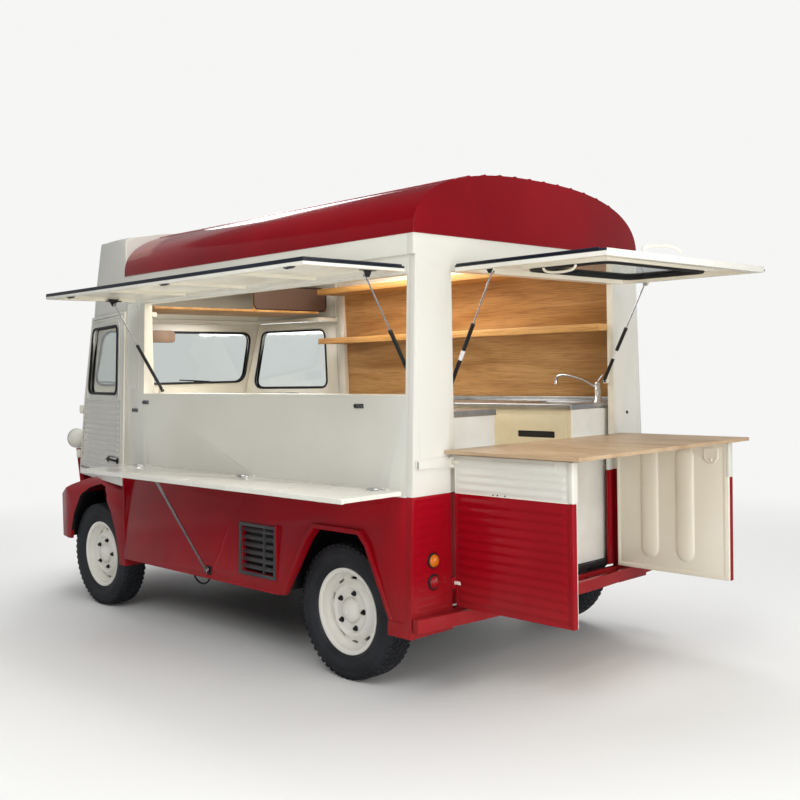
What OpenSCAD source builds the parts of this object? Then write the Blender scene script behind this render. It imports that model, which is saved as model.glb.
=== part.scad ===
// Food truck: a corrugated forward-control van with a serving hatch, a fold-up
// shelf, a rear tailgate with half doors and a raised roof.
// Millimetres. +X forward, +Y to the vehicle's left, +Z up, ground at z = 0.

/* [Vehicle] */
// Distance between the axles
wheelbase = 2527; // [2500:1:2560]
// Rear face of the body behind the rear axle
rear_overhang = 560; // [550:1:570]
// Rear axle to the front edge of the load body
body_front_x = 2060; // [2050:1:2064]
// Half width of the body at 300 mm above the ground
body_half_w = 985; // [980:1:990]
// How far each side leans in, per mm of height
side_lean = 0.042; // [0.040:0.001:0.044]
// Thickness of the body walls
wall_t = 40; // [36:1:42]

/* [Levels] */
// Underside of the red sills
sill_z = 385; // [380:1:388]
// Colour split between the red lower and the cream upper panels
belt_z = 970; // [965:1:972]
// Underside of the cream beam below the roof
beam_z = 2090; // [2085:1:2095]
// Lower edge of the roof
eave_z = 2190; // [2185:1:2195]
// Height of the roof's arch over its lower edge
roof_rise = 340; // [320:1:350]

/* [Wheels] */
// Outer radius of the tyres
tyre_r = 345; // [340:1:348]
// Width of the tyres
tyre_w = 175; // [170:1:178]
// Distance between the wheel centres on one axle
track = 1640; // [1630:1:1644]
// Radius of the rim flange
rim_r = 219; // [217:1:220]

/* [Serving hatch] */
// Rear end of the opening
hatch_x0 = -506; // [-510:1:-500]
// Front end of the opening
hatch_x1 = 1828; // [1820:1:1832]
// Lower edge of the opening
hatch_z0 = 1441; // [1438:1:1444]
// Upper edge of the opening
hatch_z1 = 2000; // [1990:1:2004]
// Reach of the awning from its hinge
awning_reach = 600; // [596:1:604]
// Thickness of the awning
awning_t = 25; // [24:1:26]

/* [Shelf] */
// Height of the shelf's upper face
shelf_z = 997; // [995:1:999]
// Depth of the shelf
shelf_depth = 360; // [350:1:362]
// Thickness of the shelf
shelf_t = 20; // [18:1:20]

/* [Rear] */
// Half width of the upper rear opening
gate_half_w = 670; // [665:1:672]
// Reach of the tailgate from its hinge
gate_reach = 855; // [850:1:857]
// Thickness of the tailgate
gate_t = 30; // [28:1:31]
// Upper edge of the half doors
half_door_z1 = 1149; // [1145:1:1151]
// Thickness of the half doors
half_door_t = 35; // [33:1:36]

/* [Cab] */
// How far each cab side runs in, per mm forward
cab_taper = 0.24; // [0.236:0.001:0.244]
// Thickness of the cab panels and doors
cab_t = 30; // [28:1:31]
// Height of the top of the roof fairing
fairing_z = 2440; // [2430:1:2445]

/* [Hidden] */
$fn = 64;

CREAM = "antiquewhite";
RED = "firebrick";
DARK = "dimgray";
STEEL = "silver";
OAK = "burlywood";
GLASS = "lightblue";
RUBBER = "black";

lean = atan(side_lean);
taper = atan(cab_taper);
rear_x = -rear_overhang;
panel_gap = 5;
far = 4000;

// Hinge lines
awning_pivot = [0, side_y(hatch_z1) + 32, 2032];
shelf_pivot = [0, side_y(shelf_z) + 13, shelf_z];
gate_pivot = [rear_x - 37, 0, 2045];
half_door_pivot = [rear_x - 15, 695, 0];
half_door_w = 685;
half_door_z0 = 425;
half_door_hinge_z = [540, 1116];
bonnet_pivot = [3052, 0, 1384];
stay_foot = [1080, side_y(431) + 18, 431];
stay_top_y = 1308;
kingpin_y = 700;
knuckle_pin_r = 14;
hub_r = 22;
board_z = 1157;
board_t = 18;
hinge_stations = [-363, 688, 1779];
gate_hinge_stations = [-480, 0, 480];
bonnet_hinge_stations = [-300, 300];
lamp_centre = [3222, 682, 1098];
// Hinge line of a cab door: how far it stands out, and the heights of its knuckles
cab_hinge_out = 12;
cab_hinge_w = [-634, -960];
wheel_centre = [2800, 400, 1290];
wheel_rake = 28;
nose_front_x = 3503;
nose_half_w = 392;
// Half width of the nose where it meets the front of the cab
nose_rear_half_w = 560;

// Gas struts: pins in the plane of their swing
awning_strut_foot = [825, 1457];
awning_strut_head = [1140, 1985];
awning_strut_x = [-470, 1792];
gate_strut_foot = [-515, 1474];
gate_strut_head = [-790, 2004];
gate_strut_y = 640;
barrel_r = 10;
rod_r = 4;
strut_eye_r = 9;
strut_pin_r = 4;

// Whole object's box, which sets the origin at the middle of its underside
front_tip_x = 3600;
rear_tip_x = gate_pivot[0] - gate_reach;
left_tip_y = awning_pivot[1] + awning_reach;
right_tip_y = -side_y(316);
origin_x = (front_tip_x + rear_tip_x) / 2;
origin_y = (left_tip_y + right_tip_y) / 2;

// Half width of the body's outer face at height z
function side_y(z) = body_half_w - (z - 300) * side_lean;

// Outline of the roof's arch, from the left eave over the top to the right eave
function arch(half_w, rise, n = 36, power = 2.45) =
    [for (i = [0 : n]) let (a = 180 * i / n, c = cos(a), s = sin(a))
        [half_w * sign(c) * pow(abs(c), 2 / power), rise * pow(s, 2 / power)]];

// A half outline with its mirror image, as one list of points. Coordinate k changes sign
function both_halves(p, k) = concat(p, [for (i = [len(p) - 1 : -1 : 0])
    k == 0 ? [-p[i][0], p[i][1]] : [p[i][0], -p[i][1]]]);

module truck() translate([-origin_x, -origin_y, 0]) children();

// A flat shape in Y and Z, run along X
module along_x(x0, x1)
    translate([x0, 0, 0]) rotate([90, 0, 90]) linear_extrude(x1 - x0) children();

// A flat shape in X and Z, run along Y
module along_y(y0, y1)
    translate([0, y1, 0]) rotate([90, 0, 0]) linear_extrude(y1 - y0) children();

module box(x0, x1, y0, y1, z0, z1) translate([x0, y0, z0]) cube([x1 - x0, y1 - y0, z1 - z0]);

module both_sides() {
    children();
    mirror([0, 1, 0]) children();
}

// ---- Load body ----

// A leaning wall slab, whose outer face stands out from the body's side
module side_slab(x0, x1, z0, z1, t = wall_t, out = 0)
    along_x(x0, x1) polygon([[side_y(z0) + out, z0], [side_y(z1) + out, z1],
        [side_y(z1) + out - t, z1], [side_y(z0) + out - t, z0]]);

module upper_side() {
    side_slab(rear_x + wall_t, body_front_x, belt_z, beam_z);
    side_slab(rear_x + wall_t, body_front_x, beam_z, eave_z, wall_t, 14);
}

module arch_outline(x, grow = 0)
    polygon([[x - 410 - grow, sill_z - 200], [x - 410 - grow, sill_z], [x - 250 - grow, 715],
        [x - 200, 765 + grow], [x + 125, 765 + grow], [x + 190 + grow, 700],
        [x + 392 + grow, sill_z], [x + 392 + grow, sill_z - 200]]);

module lower_side()
    difference() {
        side_slab(rear_x + wall_t, body_front_x - 10, sill_z, belt_z);
        along_y(0, 1200) arch_outline(0);
    }

module left_upper_side() truck() color(CREAM) {
    difference() {
        union() {
            upper_side();
            // Frame round the opening's inner edge, and the ledge below it
            box(hatch_x0 - 12, hatch_x1 + 30, 862, 905, hatch_z0 - 20, hatch_z1 + 22);
            box(hatch_x0, hatch_x1, 795, 905, hatch_z0 - 20, hatch_z0);
        }
        box(hatch_x0, hatch_x1, 700, 1200, hatch_z0, hatch_z1);
    }
    for (x = awning_strut_x) strut_foot_block(x);
    for (x = hinge_stations) wall_knuckles(x, awning_pivot);
    for (x = hinge_stations) wall_knuckles(x, shelf_pivot);
}

// Block and pin that carry one awning strut's foot, on the hatch ledge
module strut_foot_block(x) {
    side = x > 0 ? 1 : -1;
    translate([x, awning_strut_foot[0], awning_strut_foot[1]]) {
        rotate([0, 90 * side, 0]) cylinder(r = strut_pin_r, h = 20);
        translate([side > 0 ? 12 : -24, -12, -17]) cube([12, 24, 26]);
    }
}

// Two knuckles on the wall, with the gap for the moving one between them
module wall_knuckles(x, pivot) {
    wall = side_y(pivot[2]);
    for (s = [-1, 1]) translate([x + s * 32 - 10, 0, pivot[2]]) {
        translate([0, pivot[1], 0]) rotate([0, 90, 0]) cylinder(r = 5, h = 20);
        translate([0, wall - 4, -3]) cube([20, pivot[1] - wall + 4, 6]);
    }
}

module moving_knuckle(x, pivot, dir) {
    translate([x - 20, pivot[1], pivot[2]]) rotate([0, 90, 0]) cylinder(r = 5, h = 40);
    translate([x - 20, pivot[1], pivot[2] - 3]) cube([40, 10 * dir, 3]);
}

module left_lower_side() truck() color(RED)
    difference() {
        lower_side();
        box(470, 765, 800, 1100, 473, 720);
    }

module right_upper_side() truck() color(CREAM) mirror([0, 1, 0]) upper_side();

module right_lower_side() truck() color(RED) mirror([0, 1, 0]) lower_side();

// Flat outline of the body's rear face between two heights
module rear_outline(z0, z1)
    polygon([[-side_y(z0), z0], [side_y(z0), z0], [side_y(z1), z1], [-side_y(z1), z1]]);

module rear_upper_frame() truck() color(CREAM) {
    difference() {
        along_x(rear_x, rear_x + wall_t) union() {
            rear_outline(belt_z, beam_z);
            polygon([[-side_y(beam_z) - 14, beam_z], [side_y(beam_z) + 14, beam_z],
                [side_y(eave_z) + 14, eave_z], [-side_y(eave_z) - 14, eave_z]]);
        }
        box(rear_x - 10, rear_x + 60, -gate_half_w, gate_half_w, half_door_z1, 2022);
        box(rear_x - 10, rear_x + 60, -700, 700, belt_z - 10, half_door_z1 + 6);
    }
    both_sides() {
        // Strap that carries the half door's upper hinge
        box(rear_x - 11, rear_x, 712, 925, 1092, 1140);
        // Block and pin of the tailgate strut's foot
        box(gate_strut_foot[0] - 13, gate_strut_foot[0] + 13, gate_strut_y + 12, 690,
            gate_strut_foot[1] - 14, gate_strut_foot[1] + 14);
        translate([gate_strut_foot[0], gate_strut_y - 8, gate_strut_foot[1]])
            rotate([-90, 0, 0]) cylinder(r = strut_pin_r, h = 24);
        half_door_wall_knuckle(half_door_hinge_z[1]);
    }
    for (y = gate_hinge_stations) for (s = [-1, 1])
        translate([gate_pivot[0], y + s * 32 - 10, gate_pivot[2]]) {
            rotate([-90, 0, 0]) cylinder(r = 5, h = 20);
            translate([0, 0, -3]) cube([rear_x - gate_pivot[0], 20, 6]);
        }
}

module half_door_wall_knuckle(z)
    translate([half_door_pivot[0], half_door_pivot[1], z]) {
        for (s = [-26, 10]) translate([0, 0, s]) cylinder(r = 4.5, h = 16);
        for (s = [-26, 10]) translate([-3, 0, s]) cube([6, 22, 16]);
        translate([-3, 14, -26]) cube([18, 8, 52]);
    }

module rear_lower_corners() truck() color(RED) {
    both_sides() {
        along_x(rear_x, rear_x + wall_t)
            polygon([[700, 316], [side_y(316), 316], [side_y(belt_z), belt_z], [700, belt_z]]);
        half_door_wall_knuckle(half_door_hinge_z[0]);
        // The corner below the side panel
        side_slab(rear_x + wall_t, -405, 316, sill_z, wall_t);
    }
    box(rear_x + 4, rear_x + wall_t, -700, 700, 340, 412);
}

// ---- Roof ----

module roof() truck() color(RED) {
    roof_t = 25;
    half_w = side_y(eave_z) + 14;
    difference() {
        along_x(rear_x, body_front_x - 2)
            translate([0, eave_z]) polygon(arch(half_w, roof_rise));
        along_x(rear_x + roof_t, body_front_x)
            translate([0, eave_z - 1]) polygon(arch(half_w - roof_t, roof_rise - roof_t + 1));
    }
}

// Side outline of the fairing, less an inset
module fairing_side_outline(i)
    polygon([[body_front_x + i, 1968 - i], [2872 - i, 1968 - i], [2790 - i, 2170],
        [2655 - i, fairing_z - 15 - i], [2610 - i, fairing_z + 46 - i], [2500 - i, fairing_z + 82 - i],
        [body_front_x + i, fairing_z + 87 - i]]);

module fairing_plan_outline(i)
    polygon(both_halves([[0, 905 - i], [body_front_x, 905 - i],
        [2900, 905 - cab_taper * (2900 - body_front_x) - i]], 1));

// The fairing's outline seen from ahead, with its crowned top
module fairing_crown_outline(i)
    polygon(both_halves([[905 - i, 1900], [905 - i, fairing_z - 50], [893 - i, fairing_z - 12 - i],
        [855 - i, fairing_z + 6 - i], [600, fairing_z + 50 - i], [330, fairing_z + 76 - i],
        [110, fairing_z + 86 - i]], 0));

module fairing_volume(i)
    intersection() {
        along_y(-1000, 1000) fairing_side_outline(i);
        linear_extrude(3000) fairing_plan_outline(i);
        along_x(body_front_x, 2900) fairing_crown_outline(i);
    }

module cab_fairing() truck() color(CREAM)
    difference() {
        fairing_volume(0);
        fairing_volume(20);
        // Passage into the load body
        box(2000, 2090, -860, 860, 1900, eave_z + 60);
    }

// ---- Cab ----

// Turns its children into the plane of the left cab door: x forward along the door,
// y outward, z up, from the door's rear upper corner
module door_frame_of_ref()
    translate([2100, 916, 1950]) rotate([lean, 0, -taper]) children();

module cab_half_space(i) door_frame_of_ref() translate([-1000, -far - i, -2000]) cube([far, far, 4000]);

module cab_front_outline(i, z0, z1)
    polygon([[1900, z0], [3150 - i - (z0 - 880) * 0.204, z0], [3046 - i, 1390],
        [3046 - i - (z1 - 1390) * 0.335, z1], [1900, z1]]);

module cab_volume(i, z0 = 846, z1 = 1966)
    intersection() {
        cab_half_space(i);
        mirror([0, 1, 0]) cab_half_space(i);
        along_y(-1000, 1000) cab_front_outline(i, z0, z1);
    }

module door_outline(grow = 0)
    polygon([[3 - grow, -5 + grow], [762 + grow * 0.8, -5 + grow], [946 + grow, -560],
        [1050 + grow, -1045 - grow * 2.4], [3 - grow, -1045 - grow * 2.4]]);

module door_window_outline(grow = 0)
    rounded_quad([[110, -68], [728, -68], [846, -515], [110, -515]], 60, grow);

// A rounded four-cornered shape, from its corner points
module rounded_quad(p, r, grow)
    hull() for (i = [0 : 3]) {
        cx = p[i][0] + (i == 0 || i == 3 ? r : -r);
        cy = p[i][1] + (i < 2 ? -r : r);
        translate([cx, cy]) circle(r = r + grow, $fn = 32);
    }

module on_door_plane(v0, v1)
    door_frame_of_ref() translate([0, v1, 0]) rotate([90, 0, 0]) linear_extrude(v1 - v0) children();

module windscreen_outline(grow = 0)
    rounded_quad([[-640, 1875], [640, 1875], [655, 1488], [-655, 1488]], 80, grow);

// Hinge line of a cab door in the door's own plane, at height w
function cab_hinge_u(w) = 946 + (-560 - w) * 0.2144 + 8;

// One knuckle of a cab door's hinge with its plate, on the door or on the frame
module cab_hinge_knuckle(w, on_door)
    door_frame_of_ref() translate([cab_hinge_u(w), cab_hinge_out, w])
        rotate([0, -atan(0.2144), 0]) translate([0, 0, on_door ? 1 : -21]) {
            cylinder(r = 7, h = 20);
            translate([on_door ? -24 : 0, on_door ? -10.5 : -13, 0]) cube([24, 5.5, 20]);
            if (on_door) translate([-30, -13, 0]) cube([16, 8, 20]);
        }

module cab_frame() truck() color(CREAM) {
    cab_shell();
    both_sides() for (w = cab_hinge_w) cab_hinge_knuckle(w, false);
    for (y = bonnet_hinge_stations) for (s = [-26, 10]) translate([0, y + s, 0]) bonnet_knuckle(-8);
}

// A knuckle on the bonnet's hinge line, with a tab that reaches out by reach
module bonnet_knuckle(reach)
    translate(bonnet_pivot) {
        rotate([-90, 0, 0]) cylinder(r = 4.5, h = 16);
        translate([min(reach, 0), 0, -3]) cube([abs(reach), 16, 6]);
    }

module cab_shell()
    difference() {
        cab_volume(0);
        cab_volume(cab_t, 700, 1936);
        // Clear of the load body
        box(1800, body_front_x, -1200, 1200, 800, 2000);
        both_sides() on_door_plane(-200, 200) door_outline(panel_gap);
        along_x(2400, 3300) windscreen_outline();
        // Open to the space over the cab
        box(2000, 2800, -690, 690, 1900, 2000);
    }

module windscreen() truck() color(GLASS)
    intersection() {
        along_x(2700, 3200) windscreen_outline(-0.3);
        along_y(-1000, 1000) polygon([[3046 - 12, 1390], [3046 - 12 - 196, 1975],
            [3046 - 18 - 196, 1975], [3046 - 18, 1390]]);
    }

module cab_door() {
    difference() {
        on_door_plane(-cab_t, 0) door_outline();
        on_door_plane(-100, 100) door_window_outline();
    }
    for (w = cab_hinge_w) cab_hinge_knuckle(w, true);
}

module door_glass() on_door_plane(-18, -12) door_window_outline(-0.3);

module left_cab_door() truck() color(CREAM) cab_door();
module right_cab_door() truck() color(CREAM) mirror([0, 1, 0]) cab_door();
module left_door_glass() truck() color(GLASS) door_glass();
module right_door_glass() truck() color(GLASS) mirror([0, 1, 0]) door_glass();

// ---- Nose ----

function cab_face_x(z) = 3150 - (z - 880) * 0.204;

module nose_plan_outline(i)
    polygon(both_halves([[3000, nose_rear_half_w + 74 - i], [nose_front_x, nose_half_w - i]], 1));

module nose_panel() truck() color(CREAM) {
    // Grille panel
    difference() {
        box(nose_front_x - 25, nose_front_x, -nose_half_w, nose_half_w, 470, 990);
        for (z = [560 : 60 : 920]) box(nose_front_x - 13, nose_front_x + 7, -350, 350, z, z + 24);
    }
    // Cheeks between grille and cab
    intersection() {
        difference() {
            linear_extrude(2000) nose_plan_outline(0);
            linear_extrude(2000) nose_plan_outline(20);
        }
        along_y(-700, 700) polygon([[cab_face_x(845) + 5, 845], [nose_front_x - 10, 470],
            [nose_front_x - 10, 990], [cab_face_x(990) + 5, 990]]);
    }
}

// Outlines of the bonnet from the side and from ahead, less an inset
module bonnet_side_outline(i)
    polygon([[cab_face_x(996) + 8, 996 - 2 * i], [cab_face_x(1384) + 15, 1374 - i], [3200, 1342 - i],
        [3330 - i * 0.4, 1282 - i], [3430 - i * 0.6, 1204 - i], [3488 - i, 1110 - i * 0.3],
        [3510 - i, 996 - 2 * i]]);

module bonnet_front_outline(i)
    polygon(both_halves([[640 - i, 900], [640 - i, 1150], [590 - i, 1262 - i],
        [500 - i * 0.6, 1338 - i], [330, 1374 - i], [120, 1384 - i]], 0));

module bonnet_volume(i)
    intersection() {
        along_y(-700, 700) bonnet_side_outline(i);
        linear_extrude(2000) nose_plan_outline(i - 8);
        along_x(3000, 3600) bonnet_front_outline(i);
    }

module bonnet() truck() color(CREAM) {
    difference() {
        bonnet_volume(0);
        bonnet_volume(22);
    }
    for (y = bonnet_hinge_stations) translate([0, y - 8, 0]) {
        bonnet_knuckle(0);
        along_y(0, 16) polygon([[bonnet_pivot[0] - 3, bonnet_pivot[2]],
            [bonnet_pivot[0] + 2, bonnet_pivot[2] + 3],
            [3080, 1367], [3070, 1358]]);
    }
}

// The three outlines of a front wing, less an inset
module wing_plan(i)
    polygon([[2062 + i, 300], [2062 + i, 966 - i], [2900, 940 - i], [3040, 905 - i],
        [3170, 838 - i], [3270, 745 - i], [3335 - i, 630], [3358 - i, 500], [3358 - i, 300]]);

module wing_side(i)
    polygon([[2062 + i, 330 - i], [2062 + i, 893 - i], [2500, 892 - i], [2640, 872 - i],
        [2760, 838 - i], [2870, 798 - i], [2985, 748 - i], [3100 - i * 0.2, 694 - i],
        [3205 - i * 0.4, 630 - i * 0.9], [3280 - i * 0.7, 556 - i * 0.6], [3312 - i, 480],
        [3320 - i, 425 - i], [2800, 425 - i], [2700, 330 - i]]);

module wing_front(i)
    polygon([[300, 330 - i], [966 - i, 330 - i], [966 - i, 690], [955 - i, 745 - i * 0.4],
        [920 - i * 0.7, 800 - i * 0.7], [860 - i * 0.4, 846 - i], [780, 876 - i], [690, 893 - i],
        [300, 893 - i]]);

module front_arch_outline()
    polygon([[2130, 200], [2137, 330], [2160, 440], [2195, 560], [2245, 665], [2320, 762],
        [2405, 812], [2500, 825], [2590, 800], [2690, 735], [2790, 610], [2845, 480], [2870, 330],
        [2870, 200]]);

module wing_volume(i)
    intersection() {
        linear_extrude(2000) wing_plan(i);
        along_y(300, 1100) wing_side(i);
        along_x(2000, 3400) wing_front(i);
    }

module front_wing() {
    difference() {
        wing_volume(0);
        wing_volume(22);
        along_y(500, 1200) front_arch_outline();
        // Clear of the nose, the engine and the inner wall of the wheel housing
        linear_extrude(2000) polygon([[1900, 0], [1900, 520], [3060, 520], [3060, 625], [3100, 608],
            [3510, 406], [3600, 406], [3600, 0]]);
        // Room for the cab
        intersection() {
            cab_half_space(-1);
            along_y(-1000, 1000) polygon([[1900, 845], [cab_face_x(845) + 4, 845],
                [cab_face_x(1200) + 4, 1200], [1900, 1200]]);
        }
    }
    // Pedestal of the headlight
    hull() {
        translate([3160, 656, 630]) cylinder(r = 32, h = 8, $fn = 32);
        translate([lamp_centre[0] - 8, lamp_centre[1], lamp_centre[2] - 80])
            cylinder(r = 18, h = 6, $fn = 32);
    }
}

module front_wings() truck() color(RED) both_sides() front_wing();

// A bowed bar across the vehicle, standing out furthest at the middle
module bowed_bar(tip_x, dir, half_w, bow, t, z0, h) {
    r = (half_w * half_w + bow * bow) / (2 * bow);
    a = asin(half_w / r);
    n = 12;
    angles = [for (i = [-n : n]) a * i / n];
    outer = [for (q = angles) [tip_x - dir * r * (1 - cos(q)), r * sin(q)]];
    inner = [for (i = [2 * n : -1 : 0]) outer[i] - [dir * t, 0]];
    translate([0, 0, z0]) linear_extrude(h) polygon(concat(outer, inner));
}

module bumpers() truck() color(RED) {
    bowed_bar(front_tip_x, 1, 600, 66, 30, 430, 80);
    both_sides() box(nose_front_x + 1, 3584, 270, 330, 450, 490);
    bowed_bar(-672, -1, 980, 66, 34, 352, 62);
    both_sides() box(-648, rear_x, 380, 440, 362, 402);
}

module headlights() truck() color(CREAM)
    both_sides() translate(lamp_centre)
        rotate([0, 90, 0]) rotate_extrude()
            polygon([[0, -85], [25, -81], [47, -66], [62, -43], [71, -15], [72, 18], [68, 28],
                [43, 35], [0, 39]]);

module rear_lamps() truck() color("orange")
    both_sides() for (z = [563, 663]) translate([rear_x, 832, z])
        rotate([0, -90, 0]) cylinder(r = 31, h = 26);

// ---- Underside ----

module chassis_floor() truck() color(DARK) {
    difference() {
        box(rear_x + wall_t, body_front_x, -938, 938, 430, 455);
        both_sides() box(-425, 425, 600, 1000, 400, 500);
    }
    both_sides() {
        // Wheel box
        difference() {
            box(-440, 440, 600, 923, 395, 800);
            box(-425, 425, 615, 1000, 300, 785);
        }
        // Main rail, and the front rail that carries the engine
        box(rear_x + wall_t, 3000, 380, 440, 390, 430);
        box(2960, nose_front_x - 26, 330, 368, 390, 450);
        box(2900, 3000, 330, 440, 390, 430);
        // Inner wall of the front wheel housing
        box(body_front_x, 3050, 500, 515, 395, 846);
    }
    for (x = [700, 1300, 1900]) box(x, x + 50, -860, 860, 390, 430);
    // Bulkhead behind the seats, and the cab floor
    box(body_front_x, body_front_x + 15, -519, 519, 390, 846);
    intersection() {
        box(body_front_x, 3100, -900, 900, 846, 871);
        cab_volume(cab_t + 4, 800, 1966);
    }
}

module engine_block() truck() color(DARK) box(2420, 3240, -240, 240, 400, 820);

module axles() truck() color(DARK) {
    // Rear: cross tube, trailing arms and stub axles
    translate([0, -640, tyre_r]) rotate([-90, 0, 0]) cylinder(r = 38, h = 1280);
    both_sides() {
        translate([0, 640, tyre_r]) rotate([-90, 0, 0]) cylinder(r = 60, h = 76);
        translate([0, 716, tyre_r]) rotate([-90, 0, 0]) cylinder(r = hub_r, h = 120);
        box(0, 640, 500, 560, 325, 378);
        translate([640, 440, 350]) rotate([-90, 0, 0]) cylinder(r = 34, h = 160);
        // Front: lower and upper arms that hold the kingpin
        translate([wheelbase, kingpin_y, 0]) {
            front_arm(236, 26, -300);
            front_arm(470, 20, -185);
        }
    }
    translate([wheelbase - 40, -440, 249]) rotate([-90, 0, 0]) cylinder(r = 22, h = 880);
}

// One arm, with the eye for the kingpin
module front_arm(z, t, inner_y)
    difference() {
        translate([0, 0, z]) union() {
            cylinder(r = 26, h = t);
            translate([-26, inner_y, 0]) cube([52, -inner_y, t]);
        }
        cylinder(r = knuckle_pin_r + 0.1, h = 1000);
    }

module knuckle() translate([wheelbase, kingpin_y, 0]) {
    translate([0, 0, 268]) cylinder(r = 26, h = 198);
    translate([0, 0, 240]) cylinder(r = knuckle_pin_r, h = 246);
    translate([0, 0, tyre_r]) rotate([-90, 0, 0]) cylinder(r = hub_r, h = 136);
    translate([-120, -10, 300]) cube([120, 20, 20]);
}

module left_knuckle() truck() color(DARK) knuckle();
module right_knuckle() truck() color(DARK) mirror([0, 1, 0]) knuckle();

// ---- Wheels ----

// Places a wheel that is modelled about +Z, outer side up
module wheel_place(x, side)
    translate([x, side * track / 2, tyre_r]) rotate([-90 * side, 0, 0]) children();

module tyre()
    rotate_extrude($fn = 96) {
        bead_r = rim_r - 15.7;
        half = tyre_w / 2;
        polygon([[bead_r, -44], [bead_r, -57.5], [rim_r + 0.5, -57.5], [rim_r + 14, -72],
            [rim_r + 46, -half], [tyre_r - 46, -half + 3], [tyre_r - 18, -half + 9],
            [tyre_r - 5, -half + 19], [tyre_r, -half + 34], [tyre_r, half - 34],
            [tyre_r - 5, half - 19], [tyre_r - 18, half - 9], [tyre_r - 46, half - 3],
            [rim_r + 46, half], [rim_r + 14, 72], [rim_r + 0.5, 57.5], [bead_r, 57.5],
            [bead_r, 44], [rim_r + 8, 50], [rim_r + 30, 68], [rim_r + 50, half - 13],
            [tyre_r - 40, half - 18], [tyre_r - 18, half - 34], [tyre_r - 18, -half + 34],
            [tyre_r - 40, -half + 18], [rim_r + 50, -half + 13], [rim_r + 30, -68],
            [rim_r + 8, -50]]);
    }

// Barrel, stepped disc, hub with brake drum and domed cap, as one turned profile
module rim()
    rotate_extrude($fn = 96)
        polygon([[0, 63], [30, 60], [52, 50], [62, 34], [62, 22], [84, 22], [96, 36], [128, 40],
            [150, 22], [rim_r - 40, 7], [rim_r - 40, 14], [rim_r - 22, 22], [rim_r - 22, 64],
            [rim_r, 64], [rim_r, 58], [rim_r - 16, 58], [rim_r - 16, 18], [rim_r - 34, 10],
            [rim_r - 34, -22], [rim_r - 16, -30], [rim_r - 16, -58], [rim_r, -58], [rim_r, -64],
            [rim_r - 22, -64], [rim_r - 22, -34], [rim_r - 40, -26], [rim_r - 40, -6], [146, 10],
            [124, 30], [98, 26], [90, 12], [60, 12], [60, -8], [120, -14], [120, -62],
            [hub_r + 0.1, -62], [hub_r + 0.1, 18], [0, 18]]);

module front_left_tyre() truck() color(RUBBER) wheel_place(wheelbase, 1) tyre();
module front_right_tyre() truck() color(RUBBER) wheel_place(wheelbase, -1) tyre();
module rear_left_tyre() truck() color(RUBBER) wheel_place(0, 1) tyre();
module rear_right_tyre() truck() color(RUBBER) wheel_place(0, -1) tyre();
module front_left_rim() truck() color(CREAM) wheel_place(wheelbase, 1) rim();
module front_right_rim() truck() color(CREAM) wheel_place(wheelbase, -1) rim();
module rear_left_rim() truck() color(CREAM) wheel_place(0, 1) rim();
module rear_right_rim() truck() color(CREAM) wheel_place(0, -1) rim();

// ---- Inside ----

module oak_lining() truck() color(OAK) mirror([0, 1, 0]) {
    side_slab(rear_x + wall_t, 1966, 1352, 2160, 14, -wall_t);
    for (z = [1760, 2122]) box(rear_x + wall_t, 1960, 600, 862, z, z + 38);
}

module counter(y_front, y_back) {
    t = 20;
    x0 = -490;
    x1 = 1760;
    difference() {
        box(x0, x1, y_front, y_back, 456, 1320);
        box(x0 + t, x1 - t, y_front + t, y_back + 10, 400, 1330);
        box(-446, 446, 594, 1000, 400, 806);
    }
}

module kitchen_counters() truck() color("linen") {
    counter(290, 880);
    mirror([0, 1, 0]) counter(360, 868);
}

module worktops() truck() color("lightgray") {
    box(-496, 1770, 280, 880, 1320, 1350);
    difference() {
        union() {
            box(-496, 1770, -868, -350, 1320, 1350);
            box(-380, 20, -800, -440, 1185, 1325);
        }
        box(-366, 6, -786, -454, 1199, 1400);
    }
}

module mixer_tap() truck() color(STEEL) translate([-400, -745, 1350]) {
    cylinder(r = 20, h = 110);
    translate([0, 0, 90]) rotate([0, 62, 38]) cylinder(r = 9, h = 190);
    translate([0, 0, 110]) cylinder(r = 7, h = 24);
}

module overhead_shelf() truck() color(OAK) {
    box(2070, 2600, -700, 700, 1992, 2008);
    box(2090, 2100, -790, -110, 2008, 2185);
}

module cab_seats() truck() color(DARK)
    both_sides() {
        box(2200, 2620, 190, 610, 871, 1060);
        along_y(180, 620) polygon([[2196, 1050], [2652, 1050], [2664, 1100], [2652, 1156], [2310, 1162],
            [2276, 1392], [2248, 1410], [2188, 1404], [2170, 1380]]);
    }

// ---- Steering ----

module steering_wheel() truck() color(RUBBER) translate(wheel_centre) rotate([0, -wheel_rake, 0]) {
    rotate_extrude($fn = 96) translate([205, 0]) circle(r = 12);
    for (a = [0 : 120 : 240]) rotate([0, 0, a]) {
        translate([10, -13, -40]) cube([176, 26, 8]);
        translate([183, -9, -40]) cube([16, 18, 40]);
    }
    translate([0, 0, -44]) cylinder(r = 34, h = 24);
    translate([0, 0, -430]) cylinder(r = 14, h = 390);
}

// ---- Awning and its struts ----

module awning() truck() color(CREAM) translate([0, awning_pivot[1], awning_pivot[2]]) {
    x0 = -530;
    x1 = 1855;
    difference() {
        box(x0, x1, 6, awning_reach, -awning_t, 0);
        box(x0 + 42, x1 - 42, 42, awning_reach - 42, -awning_t - 1, -7);
    }
    for (x = [60, 650, 1240]) box(x, x + 30, 40, awning_reach - 40, -awning_t + 4, -6);
    // Plates beside the strut heads
    for (x = [awning_strut_x[0] - 18, awning_strut_x[1] + 12])
        along_x(x, x + 6) translate(awning_strut_head - [awning_pivot[1], awning_pivot[2]])
            polygon([[-38, 42], [-8, -9], [8, -9], [38, 42]]);
    for (x = hinge_stations) translate([0, -awning_pivot[1], -awning_pivot[2]])
        moving_knuckle(x, awning_pivot, 1);
}

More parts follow.
